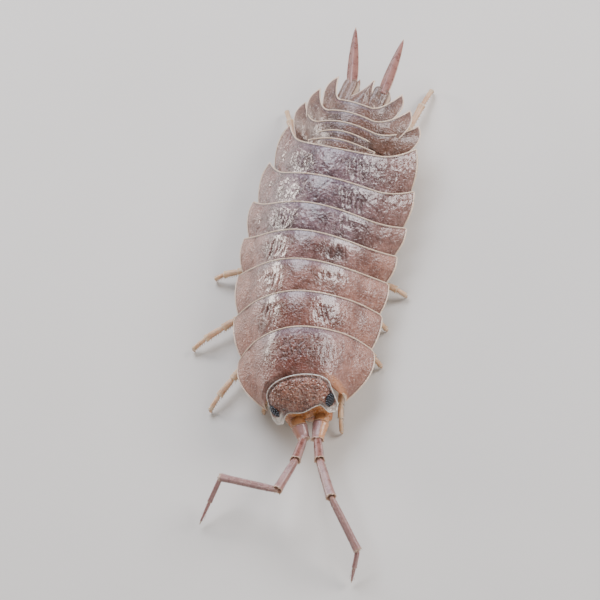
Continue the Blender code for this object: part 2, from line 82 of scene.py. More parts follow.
# The body's cross-section
DOME_ROUNDNESS = 0.224
BELLY_DEPTH = 1.95
PLATE_THICKNESS = 0.13
FRONT_TUCK = 0.94
FRONT_SUNK = 0.15
FRONT_LAP = 0.34
BACK_ARCH = 0.10
SIDE_BULGE = 0.17
BEAD_RADIUS = 0.032
CORNER_ROUNDING = 0.16

# The belly: its depth and its share of the plates' half width from the first plate to the last ring,
# and how far it lies below them
BELLY_DEPTHS = (BELLY_DEPTH, BELLY_DEPTH, 1.35, 0.9)
BELLY_SHARES = (0.62, 0.62, 0.5, 0.4)
BELLY_CLEARANCE = 0.3
BELLY_RINGS = 150
BELLY_AROUND = 25
GILL_PLATES = 5
GILL_ROWS = 16

# The first plate's notch for the head
NOTCH_HALF_WIDTH = 1.95
NOTCH_REACH = 1.14
NOTCH_TURN = 106.0
NOTCH_SET_BACK = 0.26
NOTCH_SHIFT = -0.05
FRONT_CORNER_DROP = 1.84
FIRST_SIDE_BULGE = 0.5
FIRST_FRONT_LAP = 0.5
FIRST_LAP_SINK = 0.16
FIRST_LAP_SHARE = 0.25
FIRST_LAP_DEPTH = 0.25
FRONT_BEAD_START = 0.78

# Points across and along a plate, and the place of its first row, which is below 0 where it
# reaches under the plate before it
FIRST_PLATE_GRID = (320, 96, -FIRST_LAP_SHARE)
WIDE_PLATE_GRID = (320, 68)
TAIL_RING_GRID = (200, 46, 0.0)
TELSON_GRID = (110, 60, 0.0)
TELSON_SEED = 20

# The tail's points
POINT_BULGE = 0.42
POINT_ROUNDING = 0.03
PLEON_LAP = 0.3
PLEON_SUNK = 0.24
PLEON_ARCH = 0.035
PLEON_FRONT_TUCK = 0.9
PLEON_CLEARANCE = 0.1

# The telson and the tail feelers
TELSON_HALF_WIDTH = 1.1
TELSON_TIP_HALF_WIDTH = 0.07
TELSON_TIP_SHIFT = 0.24
TELSON_NARROWING = 1.75
TELSON_OVERREACH = 0.14
TELSON_LAP = 0.25
TELSON_SUNK = 0.11
TELSON_RIDGE = 0.13
UROPOD_INNER = 0.42
UROPOD_OUTER = 1.25
UROPOD_END = 1.50
UROPOD_RISE = 0.16
UROPOD_BOTTOM = 1.08
UROPOD_ROUNDNESS = 0.55
UROPOD_RINGS = 40
UROPOD_AROUND = 64
EXOPOD_LENGTH = 3.5
EXOPOD_RADIUS = 0.28
EXOPOD_KNOTS = (0.0, 0.12, 0.35, 0.6, 0.8, 0.93, 1.0)
EXOPOD_WIDTHS = (0.85, 1.0, 1.0, 0.80, 0.52, 0.27, 0.06)
EXOPOD_ROOT = {"left": 0.95, "right": 0.7}
EXOPOD_RINGS = 60
EXOPOD_AROUND = 36
EXOPOD_DROP = 0.32
EXOPOD_SUNK = 0.43
EXOPOD_HEADING = {"left": 6.2, "right": -6.6}
EXOPOD_SLOPE = {"left": -17.0, "right": -13.0}
ENDOPOD_LENGTH = 1.2
ENDOPOD_RADIUS = 0.15
ENDOPOD_KNOTS = (0.0, 0.4, 0.8, 1.0)
ENDOPOD_WIDTHS = (1.0, 1.0, 0.6, 0.1)
ENDOPOD_RINGS = 24
ENDOPOD_ROOT = 0.62
ENDOPOD_DROP = 1.0
ENDOPOD_SUNK = 0.58
ENDOPOD_TURN = 12.0

# The head, in a frame that starts at its rear rim
HEAD_YAW = -16.2
HEAD_PITCH = 27.9
HEAD_ROLL = -9.2
HEAD_SHIFT = -0.26
HEAD_LIFT = 0.08
HEAD_HALF_WIDTH = 1.6
HEAD_REAR_REACH = 0.83
HEAD_REAR_TURN = 95.0
FRONT_HALF_WIDTH = 1.66
FRONT_REACH = 1.67
# The lobes of the front margin: reach, place across, width and how flat their tops are
MEDIAN_LOBE = (0.18, 0.0, 0.34, 2)
SIDE_LOBE = (0.48, 0.80, 0.19, 4)
RIGHT_LOBE_SLANT = 0.16
HEAD_SIDE_DROP = 0.208
HEAD_FRONT_DROP = 0.101
HEAD_SWELL = 0.2
HEAD_RIM_RADIUS = 0.028
HEAD_GRID = (110, 260)
SHIELD_THICKNESS = 0.16
SHIELD_FURROW = 0.07
LOBE_DIP = 0.06
# The face: half width and front and rear reach at depths below the shield
FACE_DEPTHS = (0.1, 0.4, 0.75, 1.25, 1.85)
FACE_WIDTHS = (1.50, 1.46, 1.38, 1.24, 0.80)
FACE_FRONTS = (1.48, 1.66, 2.05, 2.24, 1.90)
FACE_REARS = (0.14, 0.20, 0.36, 0.54, 0.90)
FACE_ROUNDNESS = 0.62
FACE_RINGS = 60
FACE_AROUND = 260
CHEEK_REACH = 0.42
EYE_PLACES = {"left": (1.38, 1.53, -0.56), "right": (1.28, 1.44, -0.56)}
EYE_RADII = (0.21, 0.36, 0.24)
EYE_TURN = 30.0
EYE_CORE = 0.88
EYE_GRID = (26, 18)
LENS_GRID = (12, 9)
# The rows of lenses: turn up from the side, how many, and how far the row is set back
LENS_ROWS = ((-8, 4, -0.01), (16, 5, 0.01), (40, 6, -0.01), (64, 6, 0.01), (88, 5, -0.01), (110, 4, 0.01))
LENS_STEP = 0.112
LENS_RADIUS = 0.053
LENS_LIFT = 0.93
# The jaw feet: where each starts and ends ahead, its place beside the middle, half width and depth
JAW_FEET = ((1.05, 1.75, 0.24, 0.24, 2.12), (1.55, 2.02, 0.22, 0.17, 2.2))
JAW_ROWS = 14
# The two ends of each palp: ahead, beside the middle and depth
PALP_ENDS = ((1.95, 0.42, 2.05), (2.15, 0.46, 2.22))

# The feelers: joints from the root outward, as left, tailward and height above the floor,
# measured from the point of the floor under the spine's start
ANTENNA_JOINTS = {
    "left": (
        (0.95, -1.85, 1.70),
        (0.95, -2.60, 1.86),
        (1.34, -3.88, 2.45),
        (2.22, -5.90, 2.85),
        (3.43, -7.93, 1.45),
        (3.00, -9.08, 0.25),
    ),
    "right": (
        (0.00, -2.00, 1.58),
        (0.22, -2.48, 1.55),
        (0.13, -3.84, 2.28),
        (-0.40, -5.60, 2.85),
        (-3.52, -4.58, 1.75),
        (-4.68, -6.40, 0.28),
    ),
}
FEELER_SEED = 11
FEELER_AROUND = 28
ARTICLE_HAIRS = 70
FLAGELLUM_HAIRS = 60
SOCKET_LENGTH = 0.62
COLLAR_LENGTH = 0.20
FEELER_TAN = {"left": 1.0, "right": 0.35}
SETA_LENGTHS = (0.05, 0.10)
SETA_RADIUS = 0.009

# An article of a limb: how its width changes along it, its teeth and its cup
ARTICLE_RINGS = 26
ARTICLE_KNOTS = (0.0, 0.05, 0.16, 0.55, 0.88, 0.96, 1.0)
NARROW_ROOT = (0.66, 0.84, 0.93, 0.98, 1.0, 1.06, 1.07)
BROAD_ROOT = (0.90, 1.0, 1.0, 0.96, 0.96, 1.04, 1.06)
TOOTH_REACH = 0.34
CUP_DEPTH = 0.16

# A spine or hair: its sides, and its width at places along it
CONE_SIDES = 5
CONE_LEVELS = ((-0.1, 1.0), (0.5, 0.75), (1.0, 0.12))

# The legs: where each foot stands, measured as the feelers' joints are
LEG_FEET = {
    "left": (
        (1.63, -1.45),
        (3.15, 2.00),
        (3.20, 3.95),
        (3.95, 5.75),
        (3.35, 9.60),
        (3.45, 12.30),
        (4.02, 16.95),
    ),
    "right": (
        (-2.30, -0.55),
        (-4.95, -0.50),
        (-6.22, 2.70),
        (-5.62, 6.50),
        (-3.95, 10.00),
        (-3.10, 12.90),
        (-3.20, 15.75),
    ),
}
LEG_SEED = 5
LEG_ROOT_SHARE = 0.5
LEG_SET_BACK = 0.15
HIP_DROP = 0.45
FIRST_LEG_WIDTH = 0.72
LEG_WIDTH = 0.9
KNEE_SHARES = (0.34, 0.62, 0.84)
KNEE_HEIGHTS = (0.72, 0.74, 0.62)
ANKLE_HEIGHT = 0.3
MIDDLE_RISE = 0.06
# The five articles below the hip: radius at the root and at the end, flatness and bow
LEG_ARTICLES = (
    (0.20, 0.24, 0.8, 0.05),
    (0.17, 0.21, 0.9, 0.0),
    (0.17, 0.21, 0.9, 0.03),
    (0.15, 0.19, 0.9, 0.03),
    (0.12, 0.13, 0.9, 0.02),
)
# The spines of the last three: distance from the middle line and how many in a row
LEG_SPINES = ((0.18, 6), (0.15, 7), (0.10, 6))
LEG_SPINE_LENGTHS = (0.12, 0.19)
LEG_SPINE_RADIUS = 0.017
CLAW_RINGS = 9
CLAW_KNOTS = (0, 0.3, 0.75, 1)
CLAW_RADII = (0.07, 0.085, 0.05, 0.02)

# The camera: the directions of the picture's right, its top and back toward the camera
CAMERA_RIGHT = Vector((0.96957, 0.11880, -0.21405))
CAMERA_TOP = Vector((-0.01210, 0.89654, 0.44279))
CAMERA_BACK = Vector((0.24451, -0.42673, 0.87070))
CAMERA_DISTANCE = 179.5
CAMERA_TARGET = Vector((1.14, 0.85, 2.7))
PIXELS_PER_MM = 20.947
AIM_LEFT = 15.786
AIM_BELOW = 32.494
PICTURE = 600
SENSOR = 36.0

# The lights: name, direction, distance, width and length, power and colour
LIGHTS = (
    ("key", (-0.88, 0.30, 0.22), 120, (34, 26), 0.08, (1.0, 0.92, 0.85)),
    ("top", (-0.24, 0.60, 0.78), 150, (100, 100), 0.29, (0.88, 0.90, 1.0)),
    ("side", (0.73, 0.31, 0.53), 150, (64, 54), 0.215, (1.0, 0.96, 0.96)),
    ("fill", (0.35, -0.80, 0.60), 170, (130, 130), 0.11, (1.0, 0.95, 0.89)),
)
LIT_PLACE = Vector((1.5, 2.0, 1.5)) * MM
ROOM_COLOUR = (1.0, 0.98, 0.96, 1.0)
ROOM_STRENGTH = 0.105
FLOOR_REACH = 500.0

# Points in a block when distances to an edge are measured
BLOCK_POINTS = 4000

# Large odd steps that spread the noise's places, one for each direction
LATTICE_STEPS = np.array((374761393, 668265263, 1440662683))


def unit(vector):
    """The vector made one long."""
    vector = np.asarray(vector, float)
    return vector / np.linalg.norm(vector, axis=-1, keepdims=True)


def smooth_step(low, high, value):
    """0 below low, 1 above high and an even curve between."""
    share = np.clip((value - low) / (high - low), 0.0, 1.0)
    return share * share * (3.0 - 2.0 * share)


def bell(value, middle, width):
    """A soft bump of height 1."""
    return np.exp(-(((value - middle) / width) ** 2))


def eased(place, knots, values):
    """Numbers read from a smooth curve through the knots."""
    knots = np.asarray(knots, float)
    values = np.asarray(values, float)
    slopes = np.gradient(values, knots)
    index = np.clip(np.searchsorted(knots, place, side="right") - 1, 0, len(knots) - 2)
    width = knots[index + 1] - knots[index]
    part = np.clip((place - knots[index]) / width, 0.0, 1.0)
    start = (1 + 2 * part) * (1 - part) ** 2 * values[index] + part * (1 - part) ** 2 * width * slopes[index]
    end = part**2 * (3 - 2 * part) * values[index + 1] - part**2 * (1 - part) * width * slopes[index + 1]
    return start + end


def lattice(cells, seed):
    """A repeatable number from 0 to 1 for each whole-numbered place."""
    mixed = cells @ LATTICE_STEPS + seed * 1274126177
    mixed = (mixed ^ (mixed >> 13)) & 0xFFFFFFFF
    mixed = (mixed * 1103515245 + 12345) & 0xFFFFFFFF
    mixed = (mixed ^ (mixed >> 16)) & 0xFFFFFFFF
    return mixed / 0xFFFFFFFF


def smooth_noise(points, size, seed=0):
    """Smooth noise from -1 to 1 whose lumps are about the given size."""
    scaled = np.asarray(points, float) / size
    base = np.floor(scaled).astype(np.int64)
    part = scaled - base
    fade = part * part * (3.0 - 2.0 * part)
    total = np.zeros(scaled.shape[:-1])
    for corner in product((0, 1), repeat=3):
        weight = np.ones_like(total)
        for axis, side in enumerate(corner):
            weight = weight * (fade[..., axis] if side else 1.0 - fade[..., axis])
        total = total + weight * lattice(base + np.array(corner), seed)
    return 2.0 * total - 1.0


class Frame:
    """A point with the directions toward the tail, the animal's left and up, from a heading and a slope."""

    def __init__(self, point, heading, slope):
        yaw = math.radians(heading)
        rise = math.radians(slope)
        level = math.cos(rise)
        self.point = np.asarray(point, float)
        self.tailward = np.array((math.sin(yaw) * level, math.cos(yaw) * level, math.sin(rise)))
        self.leftward = np.array((math.cos(yaw), -math.sin(yaw), 0.0))
        self.upward = unit(np.cross(self.leftward, self.tailward))

    def at(self, back, left, down):
        back, left, down = (np.asarray(value, float)[..., None] for value in (back, left, down))
        return self.point + self.tailward * back + self.leftward * left - self.upward * down


def spine_line():
    """Headings, slopes and points at even steps along the spine."""
    arcs = np.linspace(0.0, SPINE_LENGTH, SPINE_STEPS + 1)
    knots = np.linspace(0.0, SPINE_LENGTH, len(SPINE_HEADING))
    headings = np.interp(arcs, knots, SPINE_HEADING)
    slopes = np.interp(arcs, knots, SPINE_SLOPE)
    points = [SPINE_START.copy()]
    for step in range(SPINE_STEPS):
        heading = (headings[step] + headings[step + 1]) / 2
        slope = (slopes[step] + slopes[step + 1]) / 2
        tailward = Frame(SPINE_START, heading, slope).tailward
        points.append(points[-1] + tailward * (SPINE_LENGTH / SPINE_STEPS))
    return arcs, headings, slopes, np.array(points)


SPINE = spine_line()


def spine_frame(arc):
    """The frame at a length along the spine."""
    arcs, headings, slopes, points = SPINE
    point = [np.interp(arc, arcs, points[:, axis]) for axis in range(3)]
    return Frame(point, float(np.interp(arc, arcs, headings)), float(np.interp(arc, arcs, slopes)))


def station(index):
    """The length along the spine to the rear edge of plate number index."""
    return sum(ring.length for ring in RINGS[:index])


def floor_point(left, tailward, height):
    """A point measured from the floor under the spine's start."""
    return np.array((SPINE_START[0] + left, SPINE_START[1] + tailward, height))


def dome(across):
    """How far the back falls from its crown to a place across it, as a share of its height."""
    return across**2 * (1 + DOME_ROUNDNESS * (1 - across**2))


def rear_sweep(ring, across):
    """How far behind its station the rear edge of a plate lies, at a place across it."""
    drawn = np.maximum(0.0, (np.abs(across) - ring.corner_start) / (1 - ring.corner_start))
    return ring.sweep * across**2 + ring.corner * drawn**2


def rounded_off(ring, across, radius):
    """How far the rear edge draws forward where it rounds into the side edge."""
    inward = np.clip((np.abs(across) * ring.half_width - (ring.half_width - radius)) / radius, 0.0, 1.0)
    return radius * (1 - np.sqrt(np.maximum(0.0, 1 - inward**2)))


class Shape:
    """Points and faces gathered for one piece, with named numbers kept at each point."""

    def __init__(self):
        self.points = []
        self.faces = []
        self.marks = []
        self.count = 0

    def add(self, points, faces, **marks):
        points = np.asarray(points, float).reshape(-1, 3)
        self.points.append(points)
        self.faces.extend((np.asarray(group) + self.count).tolist() for group in faces if len(group))
        self.marks.append((len(points), marks))
        self.count += len(points)

    def finish(self, name, surface):
        mesh = bpy.data.meshes.new(name)
        faces = [face for group in self.faces for face in group]
        mesh.from_pydata((np.concatenate(self.points) * MM).tolist(), [], faces)
        for mark in sorted({mark for _, marks in self.marks for mark in marks}):
            values = [np.broadcast_to(np.ravel(kept.get(mark, 0.0)), (count,)) for count, kept in self.marks]
            layer = mesh.attributes.new(mark, "FLOAT", "POINT")
            layer.data.foreach_set("value", np.concatenate(values).astype(np.float32))
        mesh.validate()
        mesh.materials.append(surface)
        mesh.shade_smooth()
        made = bpy.data.objects.new(name, mesh)
        bpy.context.scene.collection.objects.link(made)
        return made

    def settle(self, name, surface, slot, *nodes):
        """Finishes a piece that rides with the body and stands for its solids. The slot is not used."""
        made = self.finish(name, surface)
        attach(made, "root")
        if nodes:
            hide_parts(*nodes)


def grid_faces(index, flip=False):
    """The four-sided faces between the rows and columns of a grid of point numbers."""
    quads = np.stack([index[:-1, :-1], index[:-1, 1:], index[1:, 1:], index[1:, :-1]], axis=-1)
    quads = quads.reshape(-1, 4)
    return quads[:, ::-1] if flip else quads


def grid_normals(points):
    """Upward directions square to a grid of points whose rows run tailward and columns leftward."""
    tailward = np.gradient(points, axis=0)
    leftward = np.gradient(points, axis=1)
    normal = np.cross(leftward, tailward)
    length = np.linalg.norm(normal, axis=-1, keepdims=True)
    fallback = unit(normal.mean(axis=(0, 1)))
    return np.where(length > 1e-9, normal / np.maximum(length, 1e-9), fallback)


def add_shell(shape, top, bottom, marks):
    """Adds a closed shell whose upper and lower grids meet all round their edges."""
    rows, columns = top.shape[:2]
    shown = rows * columns
    hidden = (rows - 2) * (columns - 2)
    upper = np.arange(shown).reshape(rows, columns)
    lower = upper.copy()
    lower[1:-1, 1:-1] = shown + np.arange(hidden).reshape(rows - 2, columns - 2)
    points = np.concatenate([top.reshape(-1, 3), bottom[1:-1, 1:-1].reshape(-1, 3)])
    both = {}
    for name, value in marks.items():
        both[name] = np.concatenate([value.ravel(), value[1:-1, 1:-1].ravel()])
    both["under"] = np.repeat((0.0, 1.0), (shown, hidden))
    shape.add(points, [grid_faces(upper), grid_faces(lower, flip=True)], **both)


def edge_distance(points, edge):
    """The distance from each point to the nearest of the edge's points, a block at a time."""
    flat = points.reshape(-1, 3)
    blocks = np.array_split(flat, len(flat) // BLOCK_POINTS + 1)
    nearest = [np.sqrt(((block[:, None] - edge) ** 2).sum(axis=-1).min(axis=1)) for block in blocks]
    return np.concatenate(nearest).reshape(points.shape[:-1])


def bead_faces(depth, radius, thickness):
    """Heights of the upper and lower faces of a plate at a distance from its beaded edge."""
    level = -0.35 * radius
    bead = radius * np.sqrt(np.clip(1 - (depth / radius - 1) ** 2, 0.0, 1.0))
    groove = -0.35 * radius * bell(depth, 2.4 * radius, 0.6 * radius)
    upper = np.where(depth < radius, level + bead, np.maximum(level + bead, groove))
    lowest = level - thickness
    inner = level - radius + (lowest - level + radius) * smooth_step(radius, 5 * radius, depth)
    lower = np.where(depth < radius, level - bead, inner)
    return upper, lower


def furrow_noise(first, second, third, size, seed):
    """Smooth noise read at places given by three coordinates."""
    return smooth_noise(np.stack(np.broadcast_arrays(first, second, third), axis=-1), size, seed)


def wrinkles(across, left, along, seed):
    """How deep the short furrows lie that run side by side on each flank of a plate."""
    place = (left, along * 1.6, seed * 3.7)
    bent = left + 0.07 * furrow_noise(*place, 0.3, seed) + 0.34 * along * np.sign(across)
    lines = furrow_noise(bent, along * 0.13, seed * 1.3, 0.105, seed + 5)
    reach = along + 0.06 * furrow_noise(left, 0.0, seed, 0.16, seed + 11)
    flank = bell(np.abs(across), 0.44, 0.17)
    flank = flank * smooth_step(0.12, 0.26, reach) * (1 - smooth_step(0.58, 0.76, reach))
    patchy = smooth_step(-0.6, 0.1, furrow_noise(*place, 0.6, seed + 9))
    return flank * patchy * (1 - smooth_step(0.0, 0.55, np.abs(lines)))


def rays(across, left, along, seed):
    """How deep the worm-like furrows lie that spread from the front of the first plate."""
    place = (left, along * 2.0, seed)
    bent = left / (0.60 + 0.70 * along) + 0.12 * furrow_noise(*place, 0.22, seed)
    lines = furrow_noise(bent, along * 0.7, seed * 1.7, 0.09, seed + 3)
    middle = bell(across, 0.0, 0.56) * smooth_step(0.16, 0.34, along) * (1 - smooth_step(0.72, 0.88, along))
    patchy = smooth_step(-0.6, 0.2, furrow_noise(*place, 0.35, seed + 7))
    return middle * patchy * (1 - smooth_step(0.0, 0.6, np.abs(lines)))


def grain(points, seed, strength):
    """Small lumps and pits of the shell."""
    coarse = smooth_noise(points, 0.34, seed)
    middle = smooth_noise(points, 0.15, seed + 1)
    fine = smooth_noise(points, 0.085, seed + 2)
    return strength * (0.008 * coarse + 0.009 * middle + 0.008 * fine)


def plate_counts(columns, rows, start):
    """Places across and along a plate, closer together at its edges."""
    spread = np.sin(math.pi / 2 * np.linspace(-1, 1, columns))
    reach = np.sin(math.pi / 2 * np.linspace(0, 1, rows))
    across = np.broadcast_to(spread, (rows, columns))
    along = start + (1 - start) * np.broadcast_to(reach[:, None], (rows, columns))
    return across, along


def add_plate(shape, place, grid, half_width, seed, tail, bead_start=0.0):
    """Adds a plate with its bead, grooves and grain. The first plate's front edge has a bead too."""
    across, along = plate_counts(*grid)
    base = place(across, along)
    normal = grid_normals(base)
    sides = [base[:, 0], base[:, -1]]
    if bead_start:
        sides.append(base[0][np.abs(across[0]) > bead_start])
    side_distance = edge_distance(base, np.concatenate(sides))
    depth = np.minimum(side_distance, edge_distance(base, base[-1]))
    left = across * half_width
    forward = np.maximum(along, 0.0)
    calm = smooth_step(2 * BEAD_RADIUS, 5 * BEAD_RADIUS, depth)
    groove = 0.045 * bell(np.abs(across), 0.77, 0.06) * smooth_step(0.0, 0.2, forward)
    folds = wrinkles(across, left, forward, seed)
    if bead_start:
        folds = 0.75 * np.maximum(0.5 * folds, rays(across, left, forward, seed))
    band = 1 - 0.65 * smooth_step(0.78, 0.90, forward)
    strength = 0.6 + 1.1 * smooth_step(0.4, 0.6, tail) - 1.4 * smooth_step(0.9, 1.0, tail)
    folds = folds * (1 - 0.9 * smooth_step(0.9, 1.0, tail))
    relief = (grain(base, seed, strength) * band - 0.06 * folds) * calm - groove * calm
    upper, lower = bead_faces(depth, BEAD_RADIUS, PLATE_THICKNESS)
    marks = {
        "tail": np.full_like(depth, tail),
        "across": across,
        "along": along,
        "rim": 1 - smooth_step(1.6 * BEAD_RADIUS, 2.3 * BEAD_RADIUS, depth),
        # line: the groove just inside the rim, where painted shade goes
        "line": bell(depth, 2.9 * BEAD_RADIUS, 1.2 * BEAD_RADIUS),
        "side": np.exp(-side_distance / 0.45),
        # folds: how deep the furrows are, where the shell's colour gets painted shade
        "folds": folds * calm,
    }
    if bead_start:
        marks["warm"] = (1 - smooth_step(0.01, 0.09, along)) * smooth_step(0.3, 0.6, across)
    add_shell(shape, base + normal * (upper + relief)[..., None], base + normal * lower[..., None], marks)


def sideward(across):
    """About 0 over the middle of the back, rising to 1 at the left side and falling to -1 at the right."""
    return np.sign(across) * across**4


def lofted(front, rear, across, along, frame, arch, bulge):
    """A sheet from a front edge to a rear edge, arched along and bulged at its sides."""
    hump = 4 * along * (1 - along)
    swell = bulge * sideward(across) * np.maximum(hump, 0.0)
    sheet = front + (rear - front) * along[..., None]
    return sheet + frame.upward * (arch * hump)[..., None] + frame.leftward * swell[..., None]


def rear_edge(end, ring, across, rounding):
    """The rear edge of a plate, with its corners rounded into its sides."""
    sweep = rear_sweep(ring, across) - rounded_off(ring, across, rounding)
    return end.at(sweep, ring.half_width * across, ring.height * dome(across))


def first_plate_place(across, along):
    """The first plate, whose front edge runs round the head and reaches in under its rim."""
    neck = spine_frame(0.0)
    turn = np.radians(NOTCH_TURN * across)
    back = NOTCH_SET_BACK - NOTCH_REACH * (1 - np.cos(turn))
    side = NOTCH_HALF_WIDTH * np.sin(turn) + NOTCH_SHIFT * (1 - across**4)
    front = neck.at(back, side, FRONT_CORNER_DROP * across**2 + 0.04)
    end = spine_frame(station(1))
    rear = rear_edge(end, RINGS[0], across, CORNER_ROUNDING)
    sheet = lofted(front, rear, across, np.maximum(along, 0.0), end, BACK_ARCH, FIRST_SIDE_BULGE)
    hidden = np.minimum(along, 0.0) * (1 - smooth_step(0.62, 0.92, np.abs(across)))
    reach = hidden * FIRST_FRONT_LAP / FIRST_LAP_SHARE
    low_side = FIRST_LAP_SINK * smooth_step(0.0, 0.35, -across)
    fall = low_side * np.minimum(hidden * 12, 0.0).clip(-1)
    sink = -FIRST_LAP_DEPTH * (hidden / FIRST_LAP_SHARE) ** 2 + fall
    return sheet + neck.tailward * reach[..., None] + neck.upward * sink[..., None]


def plate_place(index):
    """The rule of one of the other wide plates, whose front reaches under the plate before it."""
    ring = RINGS[index - 1]
    before = RINGS[index - 2]
    start = spine_frame(station(index - 1))
    end = spine_frame(station(index))

    def place(across, along):
        front_back = rear_sweep(before, across)
        front_fall = before.height * dome(across) + FRONT_SUNK
        front = start.at(front_back, before.half_width * across * FRONT_TUCK, front_fall)
        rear = rear_edge(end, ring, across, CORNER_ROUNDING)
        sheet = lofted(front, rear, across, along, end, BACK_ARCH, SIDE_BULGE)
        hidden = np.minimum(along, 0.0)
        sink = end.upward * (-1.2 * hidden**2)[..., None]
        tuck = end.leftward * (sideward(across) * hidden * 0.5)[..., None]
        return sheet + sink + tuck

    return place


def pleonite_place(index):
    """The rule of a short tail ring, whose front reaches under the ring before it."""
    ring = RINGS[index - 1]
    before = RINGS[index - 2]
    start = spine_frame(station(index - 1))
    end = spine_frame(station(index))
    bulge = POINT_BULGE if ring.corner else 0.0

    def place(across, along):
        left = ring.half_width * across * PLEON_FRONT_TUCK
        share = left / before.half_width
        back = before.sweep * share**2 - PLEON_LAP
        cover = before.height * dome(np.minimum(1.0, np.abs(share))) + PLEON_CLEARANCE
        front = start.at(back, left, np.maximum(ring.height * dome(across) + PLEON_SUNK, cover))
        rear = rear_edge(end, ring, across, POINT_ROUNDING)
        sheet = lofted(front, rear, across, along, end, PLEON_ARCH, 0.0)
        late = along**1.5
        swell = bulge * sideward(across) * 4 * late * (1 - late)
        return sheet + end.leftward * swell[..., None]

    return place


def telson_place(across, along):
    """The pointed end plate, with hollow sides."""
    start = spine_frame(station(len(RINGS)))
    tip = spine_frame(SPINE_LENGTH)
    ring = RINGS[-1]
    left = TELSON_HALF_WIDTH * across
    share = left / ring.half_width
    base = start.at(rear_sweep(ring, share) - TELSON_LAP, left, ring.height * dome(share) + TELSON_SUNK)
    end = tip.at(TELSON_OVERREACH, TELSON_TIP_SHIFT + TELSON_TIP_HALF_WIDTH * across, 0.0)
    middle = base + (end - base) * along[..., None]
    narrowing = (1 - along) ** TELSON_NARROWING
    sideways = base + (end - base) * (1 - narrowing)[..., None]
    shift = ((sideways - middle) @ tip.leftward)[..., None] * tip.leftward
    ridge = tip.upward * (TELSON_RIDGE * bell(across, 0.0, 0.55) * np.sin(math.pi * along))[..., None]
    return middle + shift + ridge


def srgb(red, green, blue):
    """A colour written as a screen shows it, from 0 to 255."""
    shares = [value / 255 for value in (red, green, blue)]
    linear = [share / 12.92 if share <= 0.04045 else ((share + 0.055) / 1.055) ** 2.4 for share in shares]
    return (*linear, 1.0)


class Look:
    """A material with short ways to add its nodes and to lay one colour over another."""

    def __init__(self, name):
        self.material = bpy.data.materials.new(name)
        self.material.use_nodes = True
        self.tree = self.material.node_tree
        self.shader = self.tree.nodes["Principled BSDF"]
        metres = self.node("ShaderNodeTexCoord").outputs["Object"]
        scale = (1 / MM,) * 3
        scaled = self.node("ShaderNodeVectorMath", {0: metres, 1: scale}, operation="MULTIPLY")
        self.place = scaled.outputs[0]
        self.colour = None

    def node(self, kind, inputs=None, **settings):
        made = self.tree.nodes.new(kind)
        for name, value in settings.items():
            setattr(made, name, value)
        for name, value in (inputs or {}).items():
            self.fill(made.inputs[name], value)
        return made

    def fill(self, socket, value):
        if isinstance(value, bpy.types.NodeSocket):
            self.tree.links.new(value, socket)
        else:
            socket.default_value = value

    def noise(self, size, detail=3.0, roughness=0.55):
        inputs = {"Vector": self.place, "Scale": 1.0 / size, "Detail": detail, "Roughness": roughness}
        return self.node("ShaderNodeTexNoise", inputs).outputs["Fac"]

    def cells(self, size):
        inputs = {"Vector": self.place, "Scale": 1.0 / size}
        return self.node("ShaderNodeTexVoronoi", inputs).outputs["Distance"]

    def mark(self, name):
        return self.node("ShaderNodeAttribute", attribute_name=name).outputs["Fac"]

    def count(self, operation, *numbers):
        return self.node("ShaderNodeMath", dict(enumerate(numbers)), operation=operation).outputs[0]

    def times(self, first, second):
        return self.count("MULTIPLY", first, second)

    def between(self, value, low, high, start=0.0, end=1.0):
        inputs = {"Value": value, "From Min": low, "From Max": high, "To Min": start, "To Max": end}
        return self.node("ShaderNodeMapRange", inputs, interpolation_type="SMOOTHSTEP").outputs["Result"]

    def mix(self, share, first, second):
        return self.node("ShaderNodeMix", {0: share, 6: first, 7: second}, data_type="RGBA").outputs[2]

    def drift(self, cloud, low, dark, light):
        """A colour that drifts from a dark tint to a light one as the cloud thickens."""
        return self.mix(self.between(cloud, low, 1 - low), srgb(*dark), srgb(*light))

    def paint(self, *layers):
        """Lays layers over the colour, each a share or the name of a mark, a strength and a tint."""
        for share, strength, tint in layers:
            share = self.mark(share) if isinstance(share, str) else share
            self.colour = self.mix(self.times(share, strength), self.colour, srgb(*tint))

    def bump(self, height, distance, strength=1.0, under=None):
        inputs = {"Height": height, "Distance": distance * MM, "Strength": strength}
        if under is not None:
            inputs["Normal"] = under
        return self.node("ShaderNodeBump", inputs).outputs["Normal"]

    def soften(self, weight, green, blue, depth=0.3):
        """Lets light in under the surface, red the deepest."""
        self.set(Subsurface_Weight=weight, Subsurface_Radius=(1.0, green, blue), Subsurface_Scale=depth * MM)

    def set(self, **values):
        for name, value in values.items():
            self.fill(self.shader.inputs[name.replace("_", " ")], value)

    def finish(self, **values):
        self.set(Base_Color=self.colour, **values)
        return self.material


